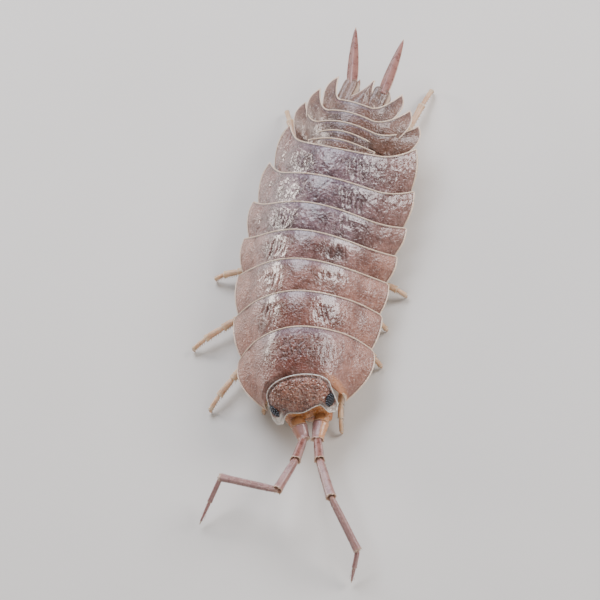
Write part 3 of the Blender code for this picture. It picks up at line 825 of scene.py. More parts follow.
def shell_look():
    """The plates: glossy brown mauve, greyer toward the tail and paler at the sides, with cream rims,
    painted shade in the furrows and beside the rims, and a painted violet sheen near the rear edges.
    """
    look = Look("shell")
    across = look.count("ABSOLUTE", look.mark("across"))
    tail = look.mark("tail")
    cloud = look.noise(0.8, 4.0, 0.6)
    speckle = look.noise(0.16, 4.0, 0.75)
    fleck = look.noise(0.085, 3.0, 0.7)
    crown = look.drift(cloud, 0.35, (102, 66, 56), (156, 114, 104))
    rear_crown = look.drift(cloud, 0.35, (74, 52, 56), (126, 100, 106))
    crown = look.mix(look.between(tail, 0.3, 0.6), crown, rear_crown)
    flank = look.drift(cloud, 0.3, (120, 78, 66), (170, 120, 103))
    rear_flank = look.drift(cloud, 0.3, (92, 60, 56), (142, 104, 98))
    flank = look.mix(look.between(tail, 0.35, 0.7), flank, rear_flank)
    rings = look.drift(cloud, 0.35, (72, 47, 38), (108, 75, 62))
    wide = look.mix(look.between(across, 0.42, 0.88), crown, flank)
    look.colour = look.mix(look.between(tail, 0.9, 1.0), wide, rings)
    blush = look.times(look.between(across, 0.66, 0.15), look.between(look.noise(0.4), 0.38, 0.58))
    peppered = look.between(look.noise(0.9), 0.38, 0.62, 0.12, 0.62)
    # A painted sheen: violet grey over the middle of each plate's rear band, standing in for the reflection
    # of the light from above.
    painted_sheen = look.times(look.between(look.mark("along"), 0.70, 0.92), look.between(across, 0.75, 0.3))
    look.paint(
        (look.times(blush, look.between(tail, 0.35, 0.0)), 0.7, (102, 46, 30)),
        (look.between(speckle, 0.54, 0.68), 0.4, (190, 162, 158)),
        (look.between(speckle, 0.46, 0.32), 0.5, (62, 34, 32)),
        (look.times(look.between(fleck, 0.57, 0.68), peppered), 1.0, (228, 208, 202)),
        (look.times(look.between(fleck, 0.44, 0.34), peppered), 1.0, (44, 24, 24)),
        (painted_sheen, 0.5, (114, 98, 116)),
        # Painted shade in the furrows; on the first plate this also draws its own dark worm pattern.
        ("folds", 0.85, (58, 32, 30)),
        # Painted shade in the groove just inside each rim.
        ("line", 0.7, (52, 36, 40)),
        ("side", 0.3, (184, 146, 128)),
        ("warm", 0.6, (186, 122, 72)),
        (look.between(look.cells(0.55), 0.07, 0.05), 0.8, (34, 20, 18)),
        ("rim", 1.0, (226, 200, 176)),
        ("under", 0.8, (188, 160, 138)),
    )
    strength = look.times(look.between(tail, 0.35, 0.6, 0.75, 1.0), look.between(tail, 0.9, 1.0, 1.0, 0.55))
    peel = look.bump(look.noise(0.13, 2.0, 0.5), 0.042, strength)
    beads = look.bump(look.cells(0.085), 0.018, 0.9, peel)
    gloss = look.times(look.between(across, 0.45, 0.8, 1.0, 0.25), look.between(tail, 0.0, 0.12, 0.45, 1.0))
    gloss = look.count("MAXIMUM", gloss, look.between(tail, 0.45, 0.65, 0.0, 0.75))
    gloss = look.times(gloss, look.between(tail, 0.9, 1.0, 1.0, 0.4))
    look.soften(0.1, 0.55, 0.45)
    look.set(Normal=look.bump(fleck, 0.012, 0.9, beads), Coat_Weight=look.times(gloss, 0.7))
    roughness = look.count("MULTIPLY_ADD", gloss, -0.16, 0.36)
    return look.finish(Roughness=roughness, Specular_IOR_Level=0.6, Coat_Roughness=0.10)


def head_look():
    """The head: a dark grained shield with a white rim over a tan face, with painted shade inside the rim
    and in the face's crease.
    """
    look = Look("head")
    cloud = look.noise(0.45, 4.0, 0.6)
    speckle = look.noise(0.14, 4.0, 0.7)
    fleck = look.noise(0.085, 3.0, 0.7)
    look.colour = look.drift(cloud, 0.35, (158, 92, 42), (204, 140, 82))
    look.paint(
        (look.between(speckle, 0.60, 0.72), 0.4, (214, 168, 122)),
        (look.between(speckle, 0.42, 0.30), 0.4, (100, 54, 28)),
        # Painted shade in the crease across the face.
        ("crease", 1.0, (46, 20, 8)),
    )
    face = look.colour
    look.colour = look.drift(cloud, 0.35, (112, 66, 50), (156, 106, 88))
    look.paint(
        (look.between(speckle, 0.56, 0.68), 0.6, (206, 172, 152)),
        (look.between(speckle, 0.44, 0.32), 0.75, (44, 28, 26)),
        (look.between(fleck, 0.58, 0.68), 0.6, (236, 220, 212)),
        (look.between(fleck, 0.44, 0.34), 0.8, (36, 20, 18)),
        (look.between(look.noise(0.15, 2.0), 0.58, 0.70), 0.55, (132, 66, 42)),
        ("flange", 1.0, (226, 218, 210)),
    )
    look.colour = look.mix(look.mark("face"), look.colour, face)
    # Painted shade in a dark line just inside the rim, then the white rim itself.
    look.paint(("line", 0.6, (48, 36, 38)), ("rim", 1.0, (236, 230, 222)))
    beads = look.bump(look.cells(0.09), 0.04, 1.0, look.bump(look.cells(0.15), 0.05))
    roughness = look.between(look.noise(0.2), 0.3, 0.7, 0.20, 0.34)
    look.soften(0.1, 0.55, 0.4)
    look.set(Roughness=roughness, Normal=look.bump(fleck, 0.010, 1.0, beads))
    return look.finish(Specular_IOR_Level=0.65, Coat_Weight=0.6, Coat_Roughness=0.10)


def eye_look():
    """The eyes: black beads with a hard gloss and a painted pale blue highlight on top of each lens."""
    look = Look("eye")
    look.colour = srgb(2, 2, 3)
    # A painted highlight: pale blue spots on the top of each lens, standing in for the lights' reflection.
    painted_lens_highlight = look.times(look.mark("lens"), look.between(look.mark("top"), 0.925, 0.99))
    look.paint((painted_lens_highlight, 1.0, (214, 222, 240)))
    look.set(Roughness=look.between(look.noise(0.05), 0.3, 0.7, 0.12, 0.22))
    return look.finish(Specular_IOR_Level=0.3, Coat_Weight=0.2, Coat_Roughness=0.06)


def feeler_look():
    """The feelers and tail feelers: mauve pink with pale edges and cups."""
    look = Look("feeler")
    cloud = look.noise(0.4, 3.0, 0.6)
    look.colour = look.drift(cloud, 0.3, (112, 70, 64), (150, 103, 92))
    look.paint(
        (look.between(look.noise(0.06, 3.0, 0.6), 0.44, 0.32), 0.45, (84, 52, 52)),
        ("ridge", 0.5, (196, 166, 166)),
        ("block", 0.6, (166, 130, 128)),
        ("tan", 0.9, (190, 134, 88)),
        ("pale", 1.0, (212, 184, 160)),
    )
    fine = look.bump(look.noise(0.035, 2.0, 0.6), 0.006, 0.8)
    look.soften(0.15, 0.6, 0.5)
    look.set(Normal=look.bump(look.noise(0.09, 2.0), 0.022, 0.9, fine))
    look.set(Roughness=look.between(cloud, 0.3, 0.7, 0.22, 0.36))
    return look.finish(Specular_IOR_Level=0.6, Coat_Weight=0.2, Coat_Roughness=0.15)


def limb_look():
    """The legs, belly and mouthparts: pale peach and cream, a little see-through."""
    look = Look("limb")
    cloud = look.noise(0.5, 3.0, 0.6)
    look.colour = look.drift(cloud, 0.3, (188, 150, 118), (214, 182, 152))
    look.paint(
        (look.between(look.noise(0.08, 3.0, 0.6), 0.60, 0.72), 0.35, (202, 164, 150)),
        ("pale", 1.0, (230, 212, 192)),
        ("spine", 1.0, (150, 104, 62)),
    )
    look.soften(0.35, 0.6, 0.4, 0.5)
    look.set(Normal=look.bump(look.noise(0.06, 3.0, 0.6), 0.01, 0.7))
    return look.finish(Roughness=look.between(cloud, 0.3, 0.7, 0.3, 0.45), Specular_IOR_Level=0.5)


def floor_look():
    """The pale floor."""
    look = Look("floor")
    look.colour = look.mix(look.noise(9.0, 2.0), srgb(214, 211, 205), srgb(220, 217, 212))
    return look.finish(Roughness=0.6, Normal=look.bump(look.noise(0.6), 0.02, 0.3))


def make_plates(surface):
    """The seven wide plates, the tail rings and the end plate."""
    for index, ring in enumerate(PEREONITES, start=1):
        shape = Shape()
        tail = (index - 1) / len(PEREONITES)
        if index == 1:
            grid = FIRST_PLATE_GRID
            add_plate(shape, first_plate_place, grid, ring.half_width, index, tail, FRONT_BEAD_START)
        else:
            grid = (*WIDE_PLATE_GRID, -FRONT_LAP / ring.length)
            add_plate(shape, plate_place(index), grid, ring.half_width, index, tail)
        shape.settle(f"plate_{index}", surface, "shell", f"pereonite_{index}")
    shape = Shape()
    for index, ring in enumerate(PLEONITES, start=len(PEREONITES) + 1):
        add_plate(shape, pleonite_place(index), TAIL_RING_GRID, ring.half_width, index, 1.0)
    shape.settle("tail_rings", surface, "shell", "pleon")
    shape = Shape()
    add_plate(shape, telson_place, TELSON_GRID, TELSON_HALF_WIDTH, TELSON_SEED, 1.0)
    shape.settle("end_plate", surface, "shell", "telson")


def circle(count):
    """Even turns round a ring, in radians."""
    return np.linspace(0, 2 * math.pi, count, endpoint=False)


def blunt(share, power, least):
    """A width that is full along the middle and rounds off toward both ends."""
    return np.sqrt(np.clip(1 - np.abs(2 * share - 1) ** power, least, 1))


def squared_off(value, power):
    """A sine or cosine drawn out toward the corners of a square."""
    return np.sign(value) * np.abs(value) ** power


def swept_rings(line, widths, heights, upward, around, ridges=0, ridge_height=0.0):
    """Oval rings of points set square to a line."""
    ahead = unit(np.gradient(line, axis=0))
    side = unit(np.cross(ahead, upward))
    over = np.cross(side, ahead)
    turn = circle(around)
    swell = 1 + ridge_height * np.cos(ridges * turn)
    sideways = (np.cos(turn) * swell)[None, :, None] * widths[:, None, None] * side[:, None, :]
    upright = (np.sin(turn) * swell)[None, :, None] * heights[:, None, None] * over[:, None, :]
    return line[:, None, :] + sideways + upright


def add_rings(shape, rings, **marks):
    """Adds rings of points as a closed tube, each end shut by a point."""
    count, around = rings.shape[:2]
    first = count * around
    points = np.concatenate([rings.reshape(-1, 3), rings[:1].mean(axis=1), rings[-1:].mean(axis=1)])
    index = np.arange(first).reshape(count, around)
    beside = np.roll(index, -1, axis=1)
    start_cap = np.stack([np.full(around, first), beside[0], index[0]], axis=-1)
    end_cap = np.stack([np.full(around, first + 1), index[-1], beside[-1]], axis=-1)
    spread = {}
    for name, value in marks.items():
        value = np.asarray(value, float)
        if value.ndim == 1 and len(value) == count:
            value = value[:, None]
        value = np.broadcast_to(value, (count, around))
        spread[name] = np.concatenate([value.ravel(), [value[0].mean(), value[-1].mean()]])
    wrapped = np.concatenate([index, index[:, :1]], axis=1)
    shape.add(points, [grid_faces(wrapped), start_cap, end_cap], **spread)


def add_cones(shape, roots, directions, lengths, radius, **marks):
    """Adds small spines, each a tapering cone on its root."""
    directions = unit(directions)
    helper = np.where(np.abs(directions[:, 2:3]) > 0.9, np.array((1.0, 0.0, 0.0)), UP)
    side = unit(np.cross(directions, helper))
    over = np.cross(side, directions)
    turn = circle(CONE_SIDES)
    wheel = np.cos(turn)[None, :, None] * side[:, None, :] + np.sin(turn)[None, :, None] * over[:, None, :]
    lengths = np.broadcast_to(lengths, (len(roots),))
    levels = []
    for share, width in CONE_LEVELS:
        centre = roots + directions * (lengths * share)[:, None]
        levels.append(centre[:, None, :] + wheel * (radius * width))
    for rings in np.stack(levels, axis=1):
        add_rings(shape, rings, **marks)


def add_article(
    shape, start, end, radii, upward, around=20,
    ridges=0, ridge_height=0.04, teeth=0, bow=0.0, root=NARROW_ROOT, **marks
):
    """Adds one article of a limb, from its root to a flared, cupped end."""
    direction = unit(end - start)
    along = np.linspace(0.0, 1.0, ARTICLE_RINGS)
    line = start + (end - start) * along[:, None] + unit(upward) * (bow * np.sin(math.pi * along))[:, None]
    radius = (radii[0] + (radii[1] - radii[0]) * along) * eased(along, ARTICLE_KNOTS, root)
    flat = radii[2] if len(radii) > 2 else 1.0
    rings = swept_rings(line, radius, radius * flat, upward, around, ridges, ridge_height)
    turn = circle(around)
    if teeth:
        reach = TOOTH_REACH * radii[1] * np.maximum(0.0, np.cos(teeth * turn)) ** 3
        rings[-1] = rings[-1] + direction * reach[:, None]
        rings[-2] = rings[-2] + direction * (reach * 0.4)[:, None]
    lip = rings[-1]
    centre = lip.mean(axis=0)
    inner = centre + (lip - centre) * 0.82 - direction * 0.02
    cup_depth = min(0.18 * np.linalg.norm(end - start), CUP_DEPTH)
    hollow = centre + (lip - centre) * 0.6 - direction * cup_depth
    middle = rings[0].mean(axis=0)
    rounded = middle + (rings[0] - middle) * 0.55 - direction * 0.35 * radii[0]
    rings = np.concatenate([rounded[None], rings, inner[None], hollow[None]])
    steps = np.concatenate([[0.0], along, [1.0, 1.0]])
    pale = 0.9 * smooth_step(0.955, 0.99, steps) + 0.3 * (1 - smooth_step(0.0, 0.07, steps))
    pale[-1] = 0.2
    ridge = np.broadcast_to(np.maximum(0.0, np.cos(ridges * turn)), (len(steps), around)) if ridges else 0.0
    add_rings(shape, rings, pale=np.clip(pale, 0, 1), ridge=ridge, **marks)


def make_antennae(surface):
    """The two feelers, article by article."""
    random = np.random.default_rng(FEELER_SEED)
    for side, joints in ANTENNA_JOINTS.items():
        root, first, second, third, fourth, tip = (floor_point(*joint) for joint in joints)
        base = Shape()
        ahead = unit(first - root)
        collar = root - ahead * COLLAR_LENGTH
        socket = root - ahead * SOCKET_LENGTH
        add_article(base, socket, collar, (0.36, 0.36, 0.85), UP, FEELER_AROUND, tan=1.0)
        tan = FEELER_TAN[side] * smooth_step(0.15, 0.45, -SIDES[side] * np.cos(circle(FEELER_AROUND)))
        radii = (0.38, 0.29, 0.8)
        marks = {"tan": tan, "block": 1.0}
        add_article(base, collar, first, radii, UP, FEELER_AROUND, teeth=4, root=BROAD_ROOT, **marks)
        add_article(base, first - ahead * 0.06, second, (0.20, 0.245), UP, FEELER_AROUND, ridges=5, teeth=4)
        base.settle(f"feeler_{side}_base", surface, "feeler", f"antenna_{side}_base")
        runs = (
            ("article_4", second, third, (0.20, 0.24), 0.25),
            ("article_5", third, fourth, (0.17, 0.19), 0.6),
        )
        for name, start, end, radii, pink in runs:
            shape = Shape()
            add_article(shape, start, end, radii, UP, 30, ridges=6, ridge_height=0.05, teeth=6, block=pink)
            add_setae(shape, start, end, radii[0], ARTICLE_HAIRS, random)
            shape.settle(f"feeler_{side}_{name}", surface, "feeler", f"antenna_{side}_{name}")
        shape = Shape()
        middle = fourth + (tip - fourth) * 0.52
        last = fourth + (tip - fourth) * 0.93
        for start, end, radii in ((fourth, middle, (0.125, 0.12)), (middle, last, (0.10, 0.05))):
            add_article(shape, start, end, radii, UP, ridges=6, block=1.0)
        add_cones(shape, last[None], (tip - fourth)[None], np.linalg.norm(tip - last) + 0.02, 0.04, pale=0.9)
        add_setae(shape, fourth, last, 0.10, FLAGELLUM_HAIRS, random)
        shape.settle(f"feeler_{side}_flagellum", surface, "feeler", f"antenna_{side}_flagellum")


def add_setae(shape, start, end, radius, count, random):
    """Adds short hairs that lean toward the tip of an article."""
    direction = unit(end - start)
    side = unit(np.cross(direction, UP))
    over = np.cross(side, direction)
    share = random.uniform(0.08, 0.95, count)
    turn = random.uniform(0, 2 * math.pi, count)
    outward = np.cos(turn)[:, None] * side + np.sin(turn)[:, None] * over
    roots = start + (end - start) * share[:, None] + outward * radius * 0.97
    lengths = random.uniform(*SETA_LENGTHS, count)
    add_cones(shape, roots, outward * 0.55 + direction, lengths, SETA_RADIUS, pale=0.8)


def leg_joints(side, number):
    """The joints of a leg from its root under the plate down to the floor."""
    ring = PEREONITES[number - 1]
    middle = spine_frame((station(number - 1) + station(number)) / 2 + LEG_SET_BACK)
    root = middle.at(0, SIDES[side] * ring.half_width * LEG_ROOT_SHARE, BELLY_DEPTH)
    hip = root - middle.upward * HIP_DROP
    ground = floor_point(*LEG_FEET[side][number - 1], 0.0)
    knees = [hip + (ground - hip) * share for share in KNEE_SHARES]
    for knee, height in zip(knees, KNEE_HEIGHTS):
        knee[2] = height
    return [root, hip, *knees, ground + UP * ANKLE_HEIGHT, ground]


def make_legs(surface):
    """Seven pairs of legs with their spines and claws."""
    random = np.random.default_rng(LEG_SEED)
    for side, number in product(SIDES, range(1, len(PEREONITES) + 1)):
        shape = Shape()
        root, hip, first, second, third, ankle, foot = leg_joints(side, number)
        away = unit(foot - hip) * np.array((1.0, 1.0, 0.0)) + 1e-6
        level = unit(np.cross(away, UP))
        upward = unit(np.cross(level, away))
        halfway = (first + second) / 2 + UP * MIDDLE_RISE
        width = FIRST_LEG_WIDTH if number == 1 else LEG_WIDTH
        add_article(shape, root + (root - hip) * 0.5, hip, (0.27, 0.24), away, around=16)
        joints = (hip, first, halfway, second, third, ankle)
        for start, end, (wide, wider, flat, bow) in zip(joints, joints[1:], LEG_ARTICLES):
            add_article(shape, start, end, (wide * width, wider * width, flat), upward, around=18, bow=bow)
        line = ankle + (foot - ankle) * np.linspace(-0.1, 0.93, CLAW_RINGS)[:, None]
        radii = eased(np.linspace(0, 1, CLAW_RINGS), CLAW_KNOTS, CLAW_RADII)
        add_rings(shape, swept_rings(line, radii, radii, away, 12), spine=np.linspace(0.0, 0.8, CLAW_RINGS))
        for start, end, (radius, count) in zip(joints[2:], joints[3:], LEG_SPINES):
            add_leg_spines(shape, start, end, radius, count, level, random)
        shape.settle(f"leg_{side}_{number}_skin", surface, "limb", f"leg_{side}_{number}")


def add_leg_spines(shape, start, end, radius, count, level, random):
    """Adds two rows of stout spines under a leg's article."""
    direction = unit(end - start)
    down = unit(np.cross(direction, level))
    down = down if down[2] < 0 else -down
    shares = np.linspace(0.2, 0.98, count)
    for sign in (-1, 1):
        outward = unit(down + level * sign * 0.6)
        roots = start + (end - start) * shares[:, None] + outward * radius * 0.95
        lean = np.broadcast_to(outward * 0.8 + direction * 0.7, roots.shape)
        add_cones(shape, roots, lean, random.uniform(*LEG_SPINE_LENGTHS, count), LEG_SPINE_RADIUS, spine=0.9)


def head_frame():
    """The head's frame: back is toward the neck, so a place ahead has a negative back."""
    made = Frame(SPINE_START, HEAD_YAW, HEAD_PITCH)
    turn = np.array(Matrix.Rotation(math.radians(HEAD_ROLL), 3, Vector(made.tailward)))
    made.leftward = turn @ made.leftward
    made.upward = turn @ made.upward
    made.point = made.at(0.0, HEAD_SHIFT, -HEAD_LIFT)
    return made


def lobe(across, shape):
    """How far a lobe of the front margin reaches ahead at a place across it."""
    reach, middle, width, flatness = shape
    return reach * np.exp(-((np.abs(np.abs(across) - middle) / width) ** flatness))


def shield_plan(across, along):
    """Places left and ahead on the head's shield."""
    turn = np.radians(HEAD_REAR_TURN * across)
    rear_left = HEAD_HALF_WIDTH * np.sin(turn)
    rear_ahead = HEAD_REAR_REACH * (1 - np.cos(turn))
    front_left = FRONT_HALF_WIDTH * across
    front_ahead = FRONT_REACH + lobe(across, MEDIAN_LOBE) + lobe(across, SIDE_LOBE)
    front_ahead = front_ahead + RIGHT_LOBE_SLANT * bell(across, -0.57, 0.11)
    return rear_left + (front_left - rear_left) * along, rear_ahead + (front_ahead - rear_ahead) * along


def shield_place(across, along):
    """The head's shield, a pillow inside its rim."""
    left, ahead = shield_plan(across, along)
    drop = HEAD_SIDE_DROP * left**2 + HEAD_FRONT_DROP * ahead**2
    swell = HEAD_SWELL * np.sin(math.pi * along) ** 0.8 * (1 - across**4)
    return head_frame().at(-ahead, left, drop - swell)


def make_head(surface):
    """The shield of the head with its rim and lobes, and the face under it."""
    shape = Shape()
    rows, columns = HEAD_GRID
    across = np.broadcast_to(np.sin(math.pi / 2 * np.linspace(-1, 1, columns)), (rows, columns))
    reach = (1 - np.cos(math.pi * np.linspace(0, 1, rows))) / 2
    along = np.broadcast_to(reach[:, None], (rows, columns))
    base = shield_place(across, along)
    normal = -grid_normals(base)
    depth = edge_distance(base, np.concatenate([base[0], base[-1], base[:, 0], base[:, -1]]))
    radius = HEAD_RIM_RADIUS
    calm = smooth_step(2 * radius, 5 * radius, depth)
    upper, lower = bead_faces(depth, radius, SHIELD_THICKNESS)
    lumps = 0.012 * smooth_noise(base, 0.17, 31) + 0.024 * smooth_noise(base, 0.10, 32)
    right = np.where(across < 0, 1.0, 0.0)
    side = lobe(across, (1.0, SIDE_LOBE[1], 0.22, 4)) * smooth_step(0.76 - 0.06 * right, 0.86, along)
    dip = -LOBE_DIP * side * calm
    furrow = -SHIELD_FURROW * bell(depth, 0.16, 0.07) * smooth_step(0.9, 0.75, along)
    top = base + normal * (upper + lumps * calm + dip + furrow)[..., None]
    bottom = base + normal * (lower + dip)[..., None]
    marks = {
        "rim": 1 - smooth_step(1.6 * radius, 2.3 * radius, depth),
        # line: just inside the rim, where the head gets painted shade
        "line": bell(depth, 0.13, 0.06) * (1 - side),
        "flange": np.clip(side * (0.65 + 0.65 * right), 0, 1),
    }
    add_shell(shape, top[:, ::-1], bottom[:, ::-1], {name: value[:, ::-1] for name, value in marks.items()})
    add_face(shape)
    shape.settle("head_skin", surface, "head", "head")


def add_face(shape):
    """Adds the face, cheeks and throat below the shield, reaching forward to the feelers' roots."""
    turn = circle(FACE_AROUND)
    levels = np.linspace(0.0, 1.0, FACE_RINGS)
    depth = 0.10 + 1.75 * levels
    width = eased(depth, FACE_DEPTHS, FACE_WIDTHS)[:, None]
    front = eased(depth, FACE_DEPTHS, FACE_FRONTS)[:, None]
    rear = eased(depth, FACE_DEPTHS, FACE_REARS)[:, None]
    left = width * squared_off(np.cos(turn), FACE_ROUNDNESS)
    ahead = (front + rear) / 2 + (front - rear) / 2 * squared_off(np.sin(turn), FACE_ROUNDNESS)
    side_drop = HEAD_SIDE_DROP * left**2 + HEAD_FRONT_DROP * ahead**2 * (1 - levels[:, None])
    fall = depth[:, None] + side_drop * (1 - 0.5 * levels[:, None])
    frontal = smooth_step(0.2, 0.7, np.sin(turn))[None, :]
    crease = bell(depth, 1.02, 0.05)[:, None] * frontal * bell(left, 0.0, 0.50)
    bulge = bell(depth, 1.25, 0.14)[:, None] * frontal * bell(left, 0.0, 0.45)
    cheek = bell(depth, 1.20, 0.45)[:, None] * frontal * bell(np.abs(left), 0.96, 0.24)
    ahead = ahead - 0.07 * crease + 0.05 * bulge + CHEEK_REACH * cheek
    head = head_frame()
    rows = head.at(-ahead, left, fall)
    rows = rows + 0.02 * smooth_noise(rows, 0.2, 41)[..., None] * head.tailward
    # crease: the face's crease, where painted shade goes
    add_rings(shape, rows[:, ::-1], face=1.0, crease=crease[:, ::-1])


def make_eyes(surface):
    """Each eye: a low dark mound set with round lenses in rows."""
    head = head_frame()
    wide, long, high = EYE_RADII
    for side, sign in SIDES.items():
        shape = Shape()
        beside, ahead, lift = EYE_PLACES[side]
        centre = head.at(-ahead, sign * beside, -lift)
        turn = math.radians(EYE_TURN)
        outward = head.leftward * sign * math.cos(turn) - head.tailward * math.sin(turn)
        lengthwise = head.tailward * math.cos(turn) + head.leftward * sign * math.sin(turn)
        axes = (outward, lengthwise, head.upward)
        add_ball(shape, centre, axes, np.array(EYE_RADII) * EYE_CORE, EYE_GRID)
        for degrees, count, shift in LENS_ROWS:
            turn = math.radians(degrees)
            for step in range(count):
                back = (step - (count - 1) / 2) * LENS_STEP + shift
                if abs(back / long) > 0.95:
                    continue
                level = math.sqrt(1 - (back / long) ** 2)
                place = centre + lengthwise * back
                place = place + outward * (wide * LENS_LIFT * math.cos(turn) * level)
                place = place + head.upward * (high * LENS_LIFT * math.sin(turn) * level)
                add_ball(shape, place, axes, (LENS_RADIUS,) * 3, LENS_GRID, lens=1.0)
        shape.settle(f"eye_{side}_lenses", surface, "eye", f"eye_{side}")


def add_ball(shape, centre, axes, radii, grid, **marks):
    """Adds a ball with its own radius along each of three axes."""
    around, rings = grid
    first, second, third = axes
    lift = np.linspace(-math.pi / 2 + 0.12, math.pi / 2 - 0.12, rings)
    turn = circle(around)
    along = np.outer(np.cos(lift), np.cos(turn)) * radii[0]
    beside = np.outer(np.cos(lift), np.sin(turn)) * radii[1]
    above = np.sin(lift)[:, None] * radii[2]
    points = centre + along[..., None] * first + beside[..., None] * second + above[..., None] * third
    # How high each point lies on the ball, which places the eyes' painted highlight.
    top = np.sin(lift)
    if np.dot(np.cross(first, second), third) > 0:
        points = points[::-1]
        top = top[::-1]
    add_rings(shape, points[:, ::-1], top=top, **marks)


def add_leaf(shape, line, upward, width, flat, around, pale):
    """Adds a flat, blunt leaf along a line."""
    widths = width * blunt(np.linspace(0, 1, len(line)), 4, 0.02)
    add_rings(shape, swept_rings(line, widths, widths * flat, upward, around), pale=pale)


def make_mouthparts(surface):
    """The flat jaw feet under the head."""
    head = head_frame()
    shape = Shape()
    for sign in (-1, 1):
        for start, end, left, wide, depth in JAW_FEET:
            share = np.linspace(0, 1, JAW_ROWS)
            line = head.at(-(start + (end - start) * share), sign * left, depth + 0.12 * share)
            add_leaf(shape, line, head.upward, wide, 0.5, 18, 0.3)
        ends = [head.at(-ahead, sign * left, depth) for ahead, left, depth in PALP_ENDS]
        add_article(shape, *ends, (0.09, 0.06), head.upward, around=12)
    axes = (head.leftward, head.tailward, head.upward)
    add_ball(shape, head.at(-2.12, 0.0, 1.72), axes, (0.42, 0.26, 0.3), (24, 16))
    shape.settle("jaw_feet", surface, "limb", "mouthparts")


def make_belly(surface):
    """The soft underside between the legs, ringed like the plates above it, and the gill plates."""
    shape = Shape()
    edges = [station(index) for index in range(len(RINGS) + 1)]
    middles = [(low + high) / 2 for low, high in zip(edges, edges[1:])]
    knots = (0, edges[6], edges[8], edges[12])
    arcs = np.linspace(0.15, edges[-1] + 0.3, BELLY_RINGS)
    widths = np.interp(arcs, middles, [ring.half_width for ring in RINGS])
    heights = np.interp(arcs, middles, [ring.height for ring in RINGS])
    depths = np.interp(arcs, knots, BELLY_DEPTHS)
    shares = np.interp(arcs, knots, BELLY_SHARES)
    upper_turn = np.linspace(0, math.pi, BELLY_AROUND)
    lower_turn = np.linspace(math.pi, 2 * math.pi, BELLY_AROUND)[1:-1]
    rows = []
    for arc, width, height, depth, share in zip(arcs, widths, heights, depths, shares):
        over = width * share * np.cos(upper_turn)
        under = width * share * np.cos(lower_turn)
        nearest = min(abs(arc - edge) for edge in edges)
        bottom = depth - 0.06 * math.exp(-((nearest / 0.1) ** 2))
        rim = height * dome(share) + BELLY_CLEARANCE
        top = height * dome(over / width) + BELLY_CLEARANCE
        low = rim + (max(bottom, rim + 0.1) - rim) * np.sqrt(np.abs(np.sin(lower_turn)))
        place = spine_frame(float(arc))
        rows.append(place.at(0.0, np.concatenate([over, under]), np.concatenate([top, low])))
    add_rings(shape, np.array(rows)[:, ::-1], pale=0.2)
    share = np.linspace(0, 1, GILL_ROWS)
    for number, sign in product(range(GILL_PLATES), (-1, 1)):
        place = spine_frame(station(7) + 0.1 + 0.42 * number)
        down = 1.32 - 0.1 * number + 0.10 * share
        line = place.at(-0.25 + 1.15 * share, sign * (0.62 - 0.06 * number), down)
        add_leaf(shape, line, place.upward, 0.5 * (1 - 0.06 * number), 0.16, 20, 0.8)
    shape.settle("belly", surface, "limb")


def make_uropods(shell, feeler):
    """The tail feelers: a furrowed base, a long outer blade and a short inner one."""
    place = spine_frame(station(len(RINGS)))
    for side, sign in SIDES.items():
        base = Shape()
        add_block(base, place, sign)
        base.settle(f"tail_feeler_{side}_base", shell, "shell", f"uropod_{side}")
        blades = Shape()
        root = place.at(UROPOD_END - EXOPOD_SUNK, sign * EXOPOD_ROOT[side], EXOPOD_DROP)
        add_outer_blade(blades, Frame(root, EXOPOD_HEADING[side], EXOPOD_SLOPE[side]))
        root = place.at(UROPOD_END - ENDOPOD_SUNK, sign * ENDOPOD_ROOT, ENDOPOD_DROP)
        inner = Frame(root, EXOPOD_HEADING[side] - sign * ENDOPOD_TURN, EXOPOD_SLOPE[side])
        share = np.linspace(0, 1, ENDOPOD_RINGS)
        widths = ENDOPOD_RADIUS * eased(share, ENDOPOD_KNOTS, ENDOPOD_WIDTHS)
        line = inner.at(share * ENDOPOD_LENGTH, 0.0, 0.0)
        add_rings(blades, swept_rings(line, widths, widths * 0.7, inner.upward, 20), pale=0.25)
        blades.settle(f"tail_feeler_{side}_blades", feeler, "feeler", f"uropod_{side}")


def add_block(shape, place, sign):
    """Adds the base of a tail feeler, a furrowed block whose top follows the last ring."""
    ring = RINGS[-1]
    share = np.linspace(0, 1, UROPOD_RINGS)[:, None]
    turn = circle(UROPOD_AROUND)
    middle = (UROPOD_INNER + UROPOD_OUTER) / 2
    half = (UROPOD_OUTER - UROPOD_INNER) / 2
    square_left = squared_off(np.cos(turn), UROPOD_ROUNDNESS)
    square_down = squared_off(np.sin(turn), UROPOD_ROUNDNESS)
    round_end = blunt(share, 9, 0.03)
    left = sign * middle + half * square_left * round_end
    fall = ring.height * dome(np.abs(left) / ring.half_width) * (1 - 0.45 * share)
    fall = fall + UROPOD_RISE * (1 - share)
    height = (UROPOD_BOTTOM - fall) / 2 * square_down * round_end
    furrow = 0.05 * bell(square_left * sign, 0.15, 0.22) * (square_down < -0.3)
    down = (UROPOD_BOTTOM + fall) / 2 + height + furrow * round_end
    front = rear_sweep(ring, middle / ring.half_width) - 0.15
    rings = place.at(front + (UROPOD_END - front) * share, left, down)
    rings = rings + place.upward * 0.012 * smooth_noise(rings, 0.15, 51)[..., None]
    ridge = bell(np.abs(square_left), 1.0, 0.05) * (square_down < 0.2)
    rim = 0.06 + 0.74 * np.clip(smooth_step(0.90, 0.97, share) + ridge, 0, 1)
    add_rings(shape, rings[:, ::-1], rim=rim[:, ::-1], tail=1.0, across=0.7, along=0.5)


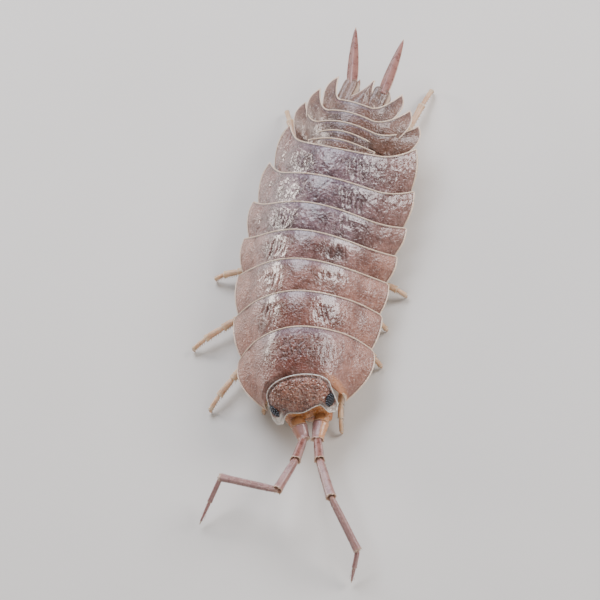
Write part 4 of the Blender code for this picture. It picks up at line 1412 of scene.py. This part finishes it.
def add_outer_blade(shape, frame):
    """Adds the long outer blade of a tail feeler, with a keel along its top."""
    share = np.linspace(0, 1, EXOPOD_RINGS)
    turn = circle(EXOPOD_AROUND)
    widths = EXOPOD_RADIUS * eased(share, EXOPOD_KNOTS, EXOPOD_WIDTHS)
    line = frame.at(share * (EXOPOD_LENGTH + EXOPOD_SUNK), 0.0, 0.0)
    rings = swept_rings(line, widths, widths * 0.62, frame.upward, EXOPOD_AROUND)
    from_top = np.abs(turn - math.pi / 2)
    keel = 0.16 * bell(from_top, 0.0, 0.35) - 0.10 * bell(from_top, 0.75, 0.3)
    rings = rings + frame.upward * (keel[None, :, None] * widths[:, None, None])
    pale = np.maximum(bell(np.abs(np.cos(turn)), 1.0, 0.045), smooth_step(0.93, 1.0, share)[:, None])
    add_rings(shape, rings, pale=pale * 0.85, ridge=0.4 * bell(from_top, 0.0, 0.3))


def make_floor(surface):
    """A wide pale floor."""
    shape = Shape()
    corners = [(x * FLOOR_REACH, y * FLOOR_REACH, 0) for x, y in ((-1, -1), (1, -1), (1, 1), (-1, 1))]
    shape.add(corners, [np.array([[0, 1, 2, 3]])])
    shape.finish("floor", surface)


def make_camera():
    """A long lens looking down on the animal from ahead of it."""
    place = CAMERA_TARGET + CAMERA_BACK * CAMERA_DISTANCE
    left = CAMERA_RIGHT * (AIM_LEFT / PIXELS_PER_MM)
    below = CAMERA_TOP * (AIM_BELOW / PIXELS_PER_MM)
    ahead = (CAMERA_TARGET - left - below - place).normalized()
    right = (CAMERA_RIGHT - ahead * CAMERA_RIGHT.dot(ahead)).normalized()
    data = bpy.data.cameras.new("camera")
    data.sensor_width = SENSOR
    data.lens = PIXELS_PER_MM * CAMERA_DISTANCE / PICTURE * SENSOR
    data.clip_start = 0.01
    made = bpy.data.objects.new("camera", data)
    turned = Matrix((right, right.cross(ahead), -ahead)).transposed().to_4x4()
    turned.translation = place * MM
    made.matrix_world = turned
    bpy.context.scene.collection.objects.link(made)
    bpy.context.scene.camera = made


def make_lights():
    """Plain soft studio light from four sides, most of it from above and behind, and a dim room."""
    for name, direction, distance, size, power, colour in LIGHTS:
        data = bpy.data.lights.new(name, "AREA")
        data.shape = "RECTANGLE"
        data.size = size[0] * MM
        data.size_y = size[1] * MM
        data.energy = power
        data.color = colour
        made = bpy.data.objects.new(name, data)
        toward = Vector(direction).normalized()
        made.location = LIT_PLACE + toward * distance * MM
        made.rotation_euler = toward.to_track_quat("Z", "Y").to_euler()
        bpy.context.scene.collection.objects.link(made)
    world = bpy.data.worlds.new("room")
    world.use_nodes = True
    inputs = world.node_tree.nodes["Background"].inputs
    inputs["Color"].default_value = ROOM_COLOUR
    inputs["Strength"].default_value = ROOM_STRENGTH
    bpy.context.scene.world = world


def main():
    shell = shell_look()
    head = head_look()
    limb = limb_look()
    feeler = feeler_look()
    make_camera()
    make_plates(shell)
    make_head(head)
    make_eyes(eye_look())
    make_mouthparts(limb)
    make_antennae(feeler)
    make_legs(limb)
    make_belly(limb)
    make_uropods(shell, feeler)
    make_floor(floor_look())
    make_lights()


main()
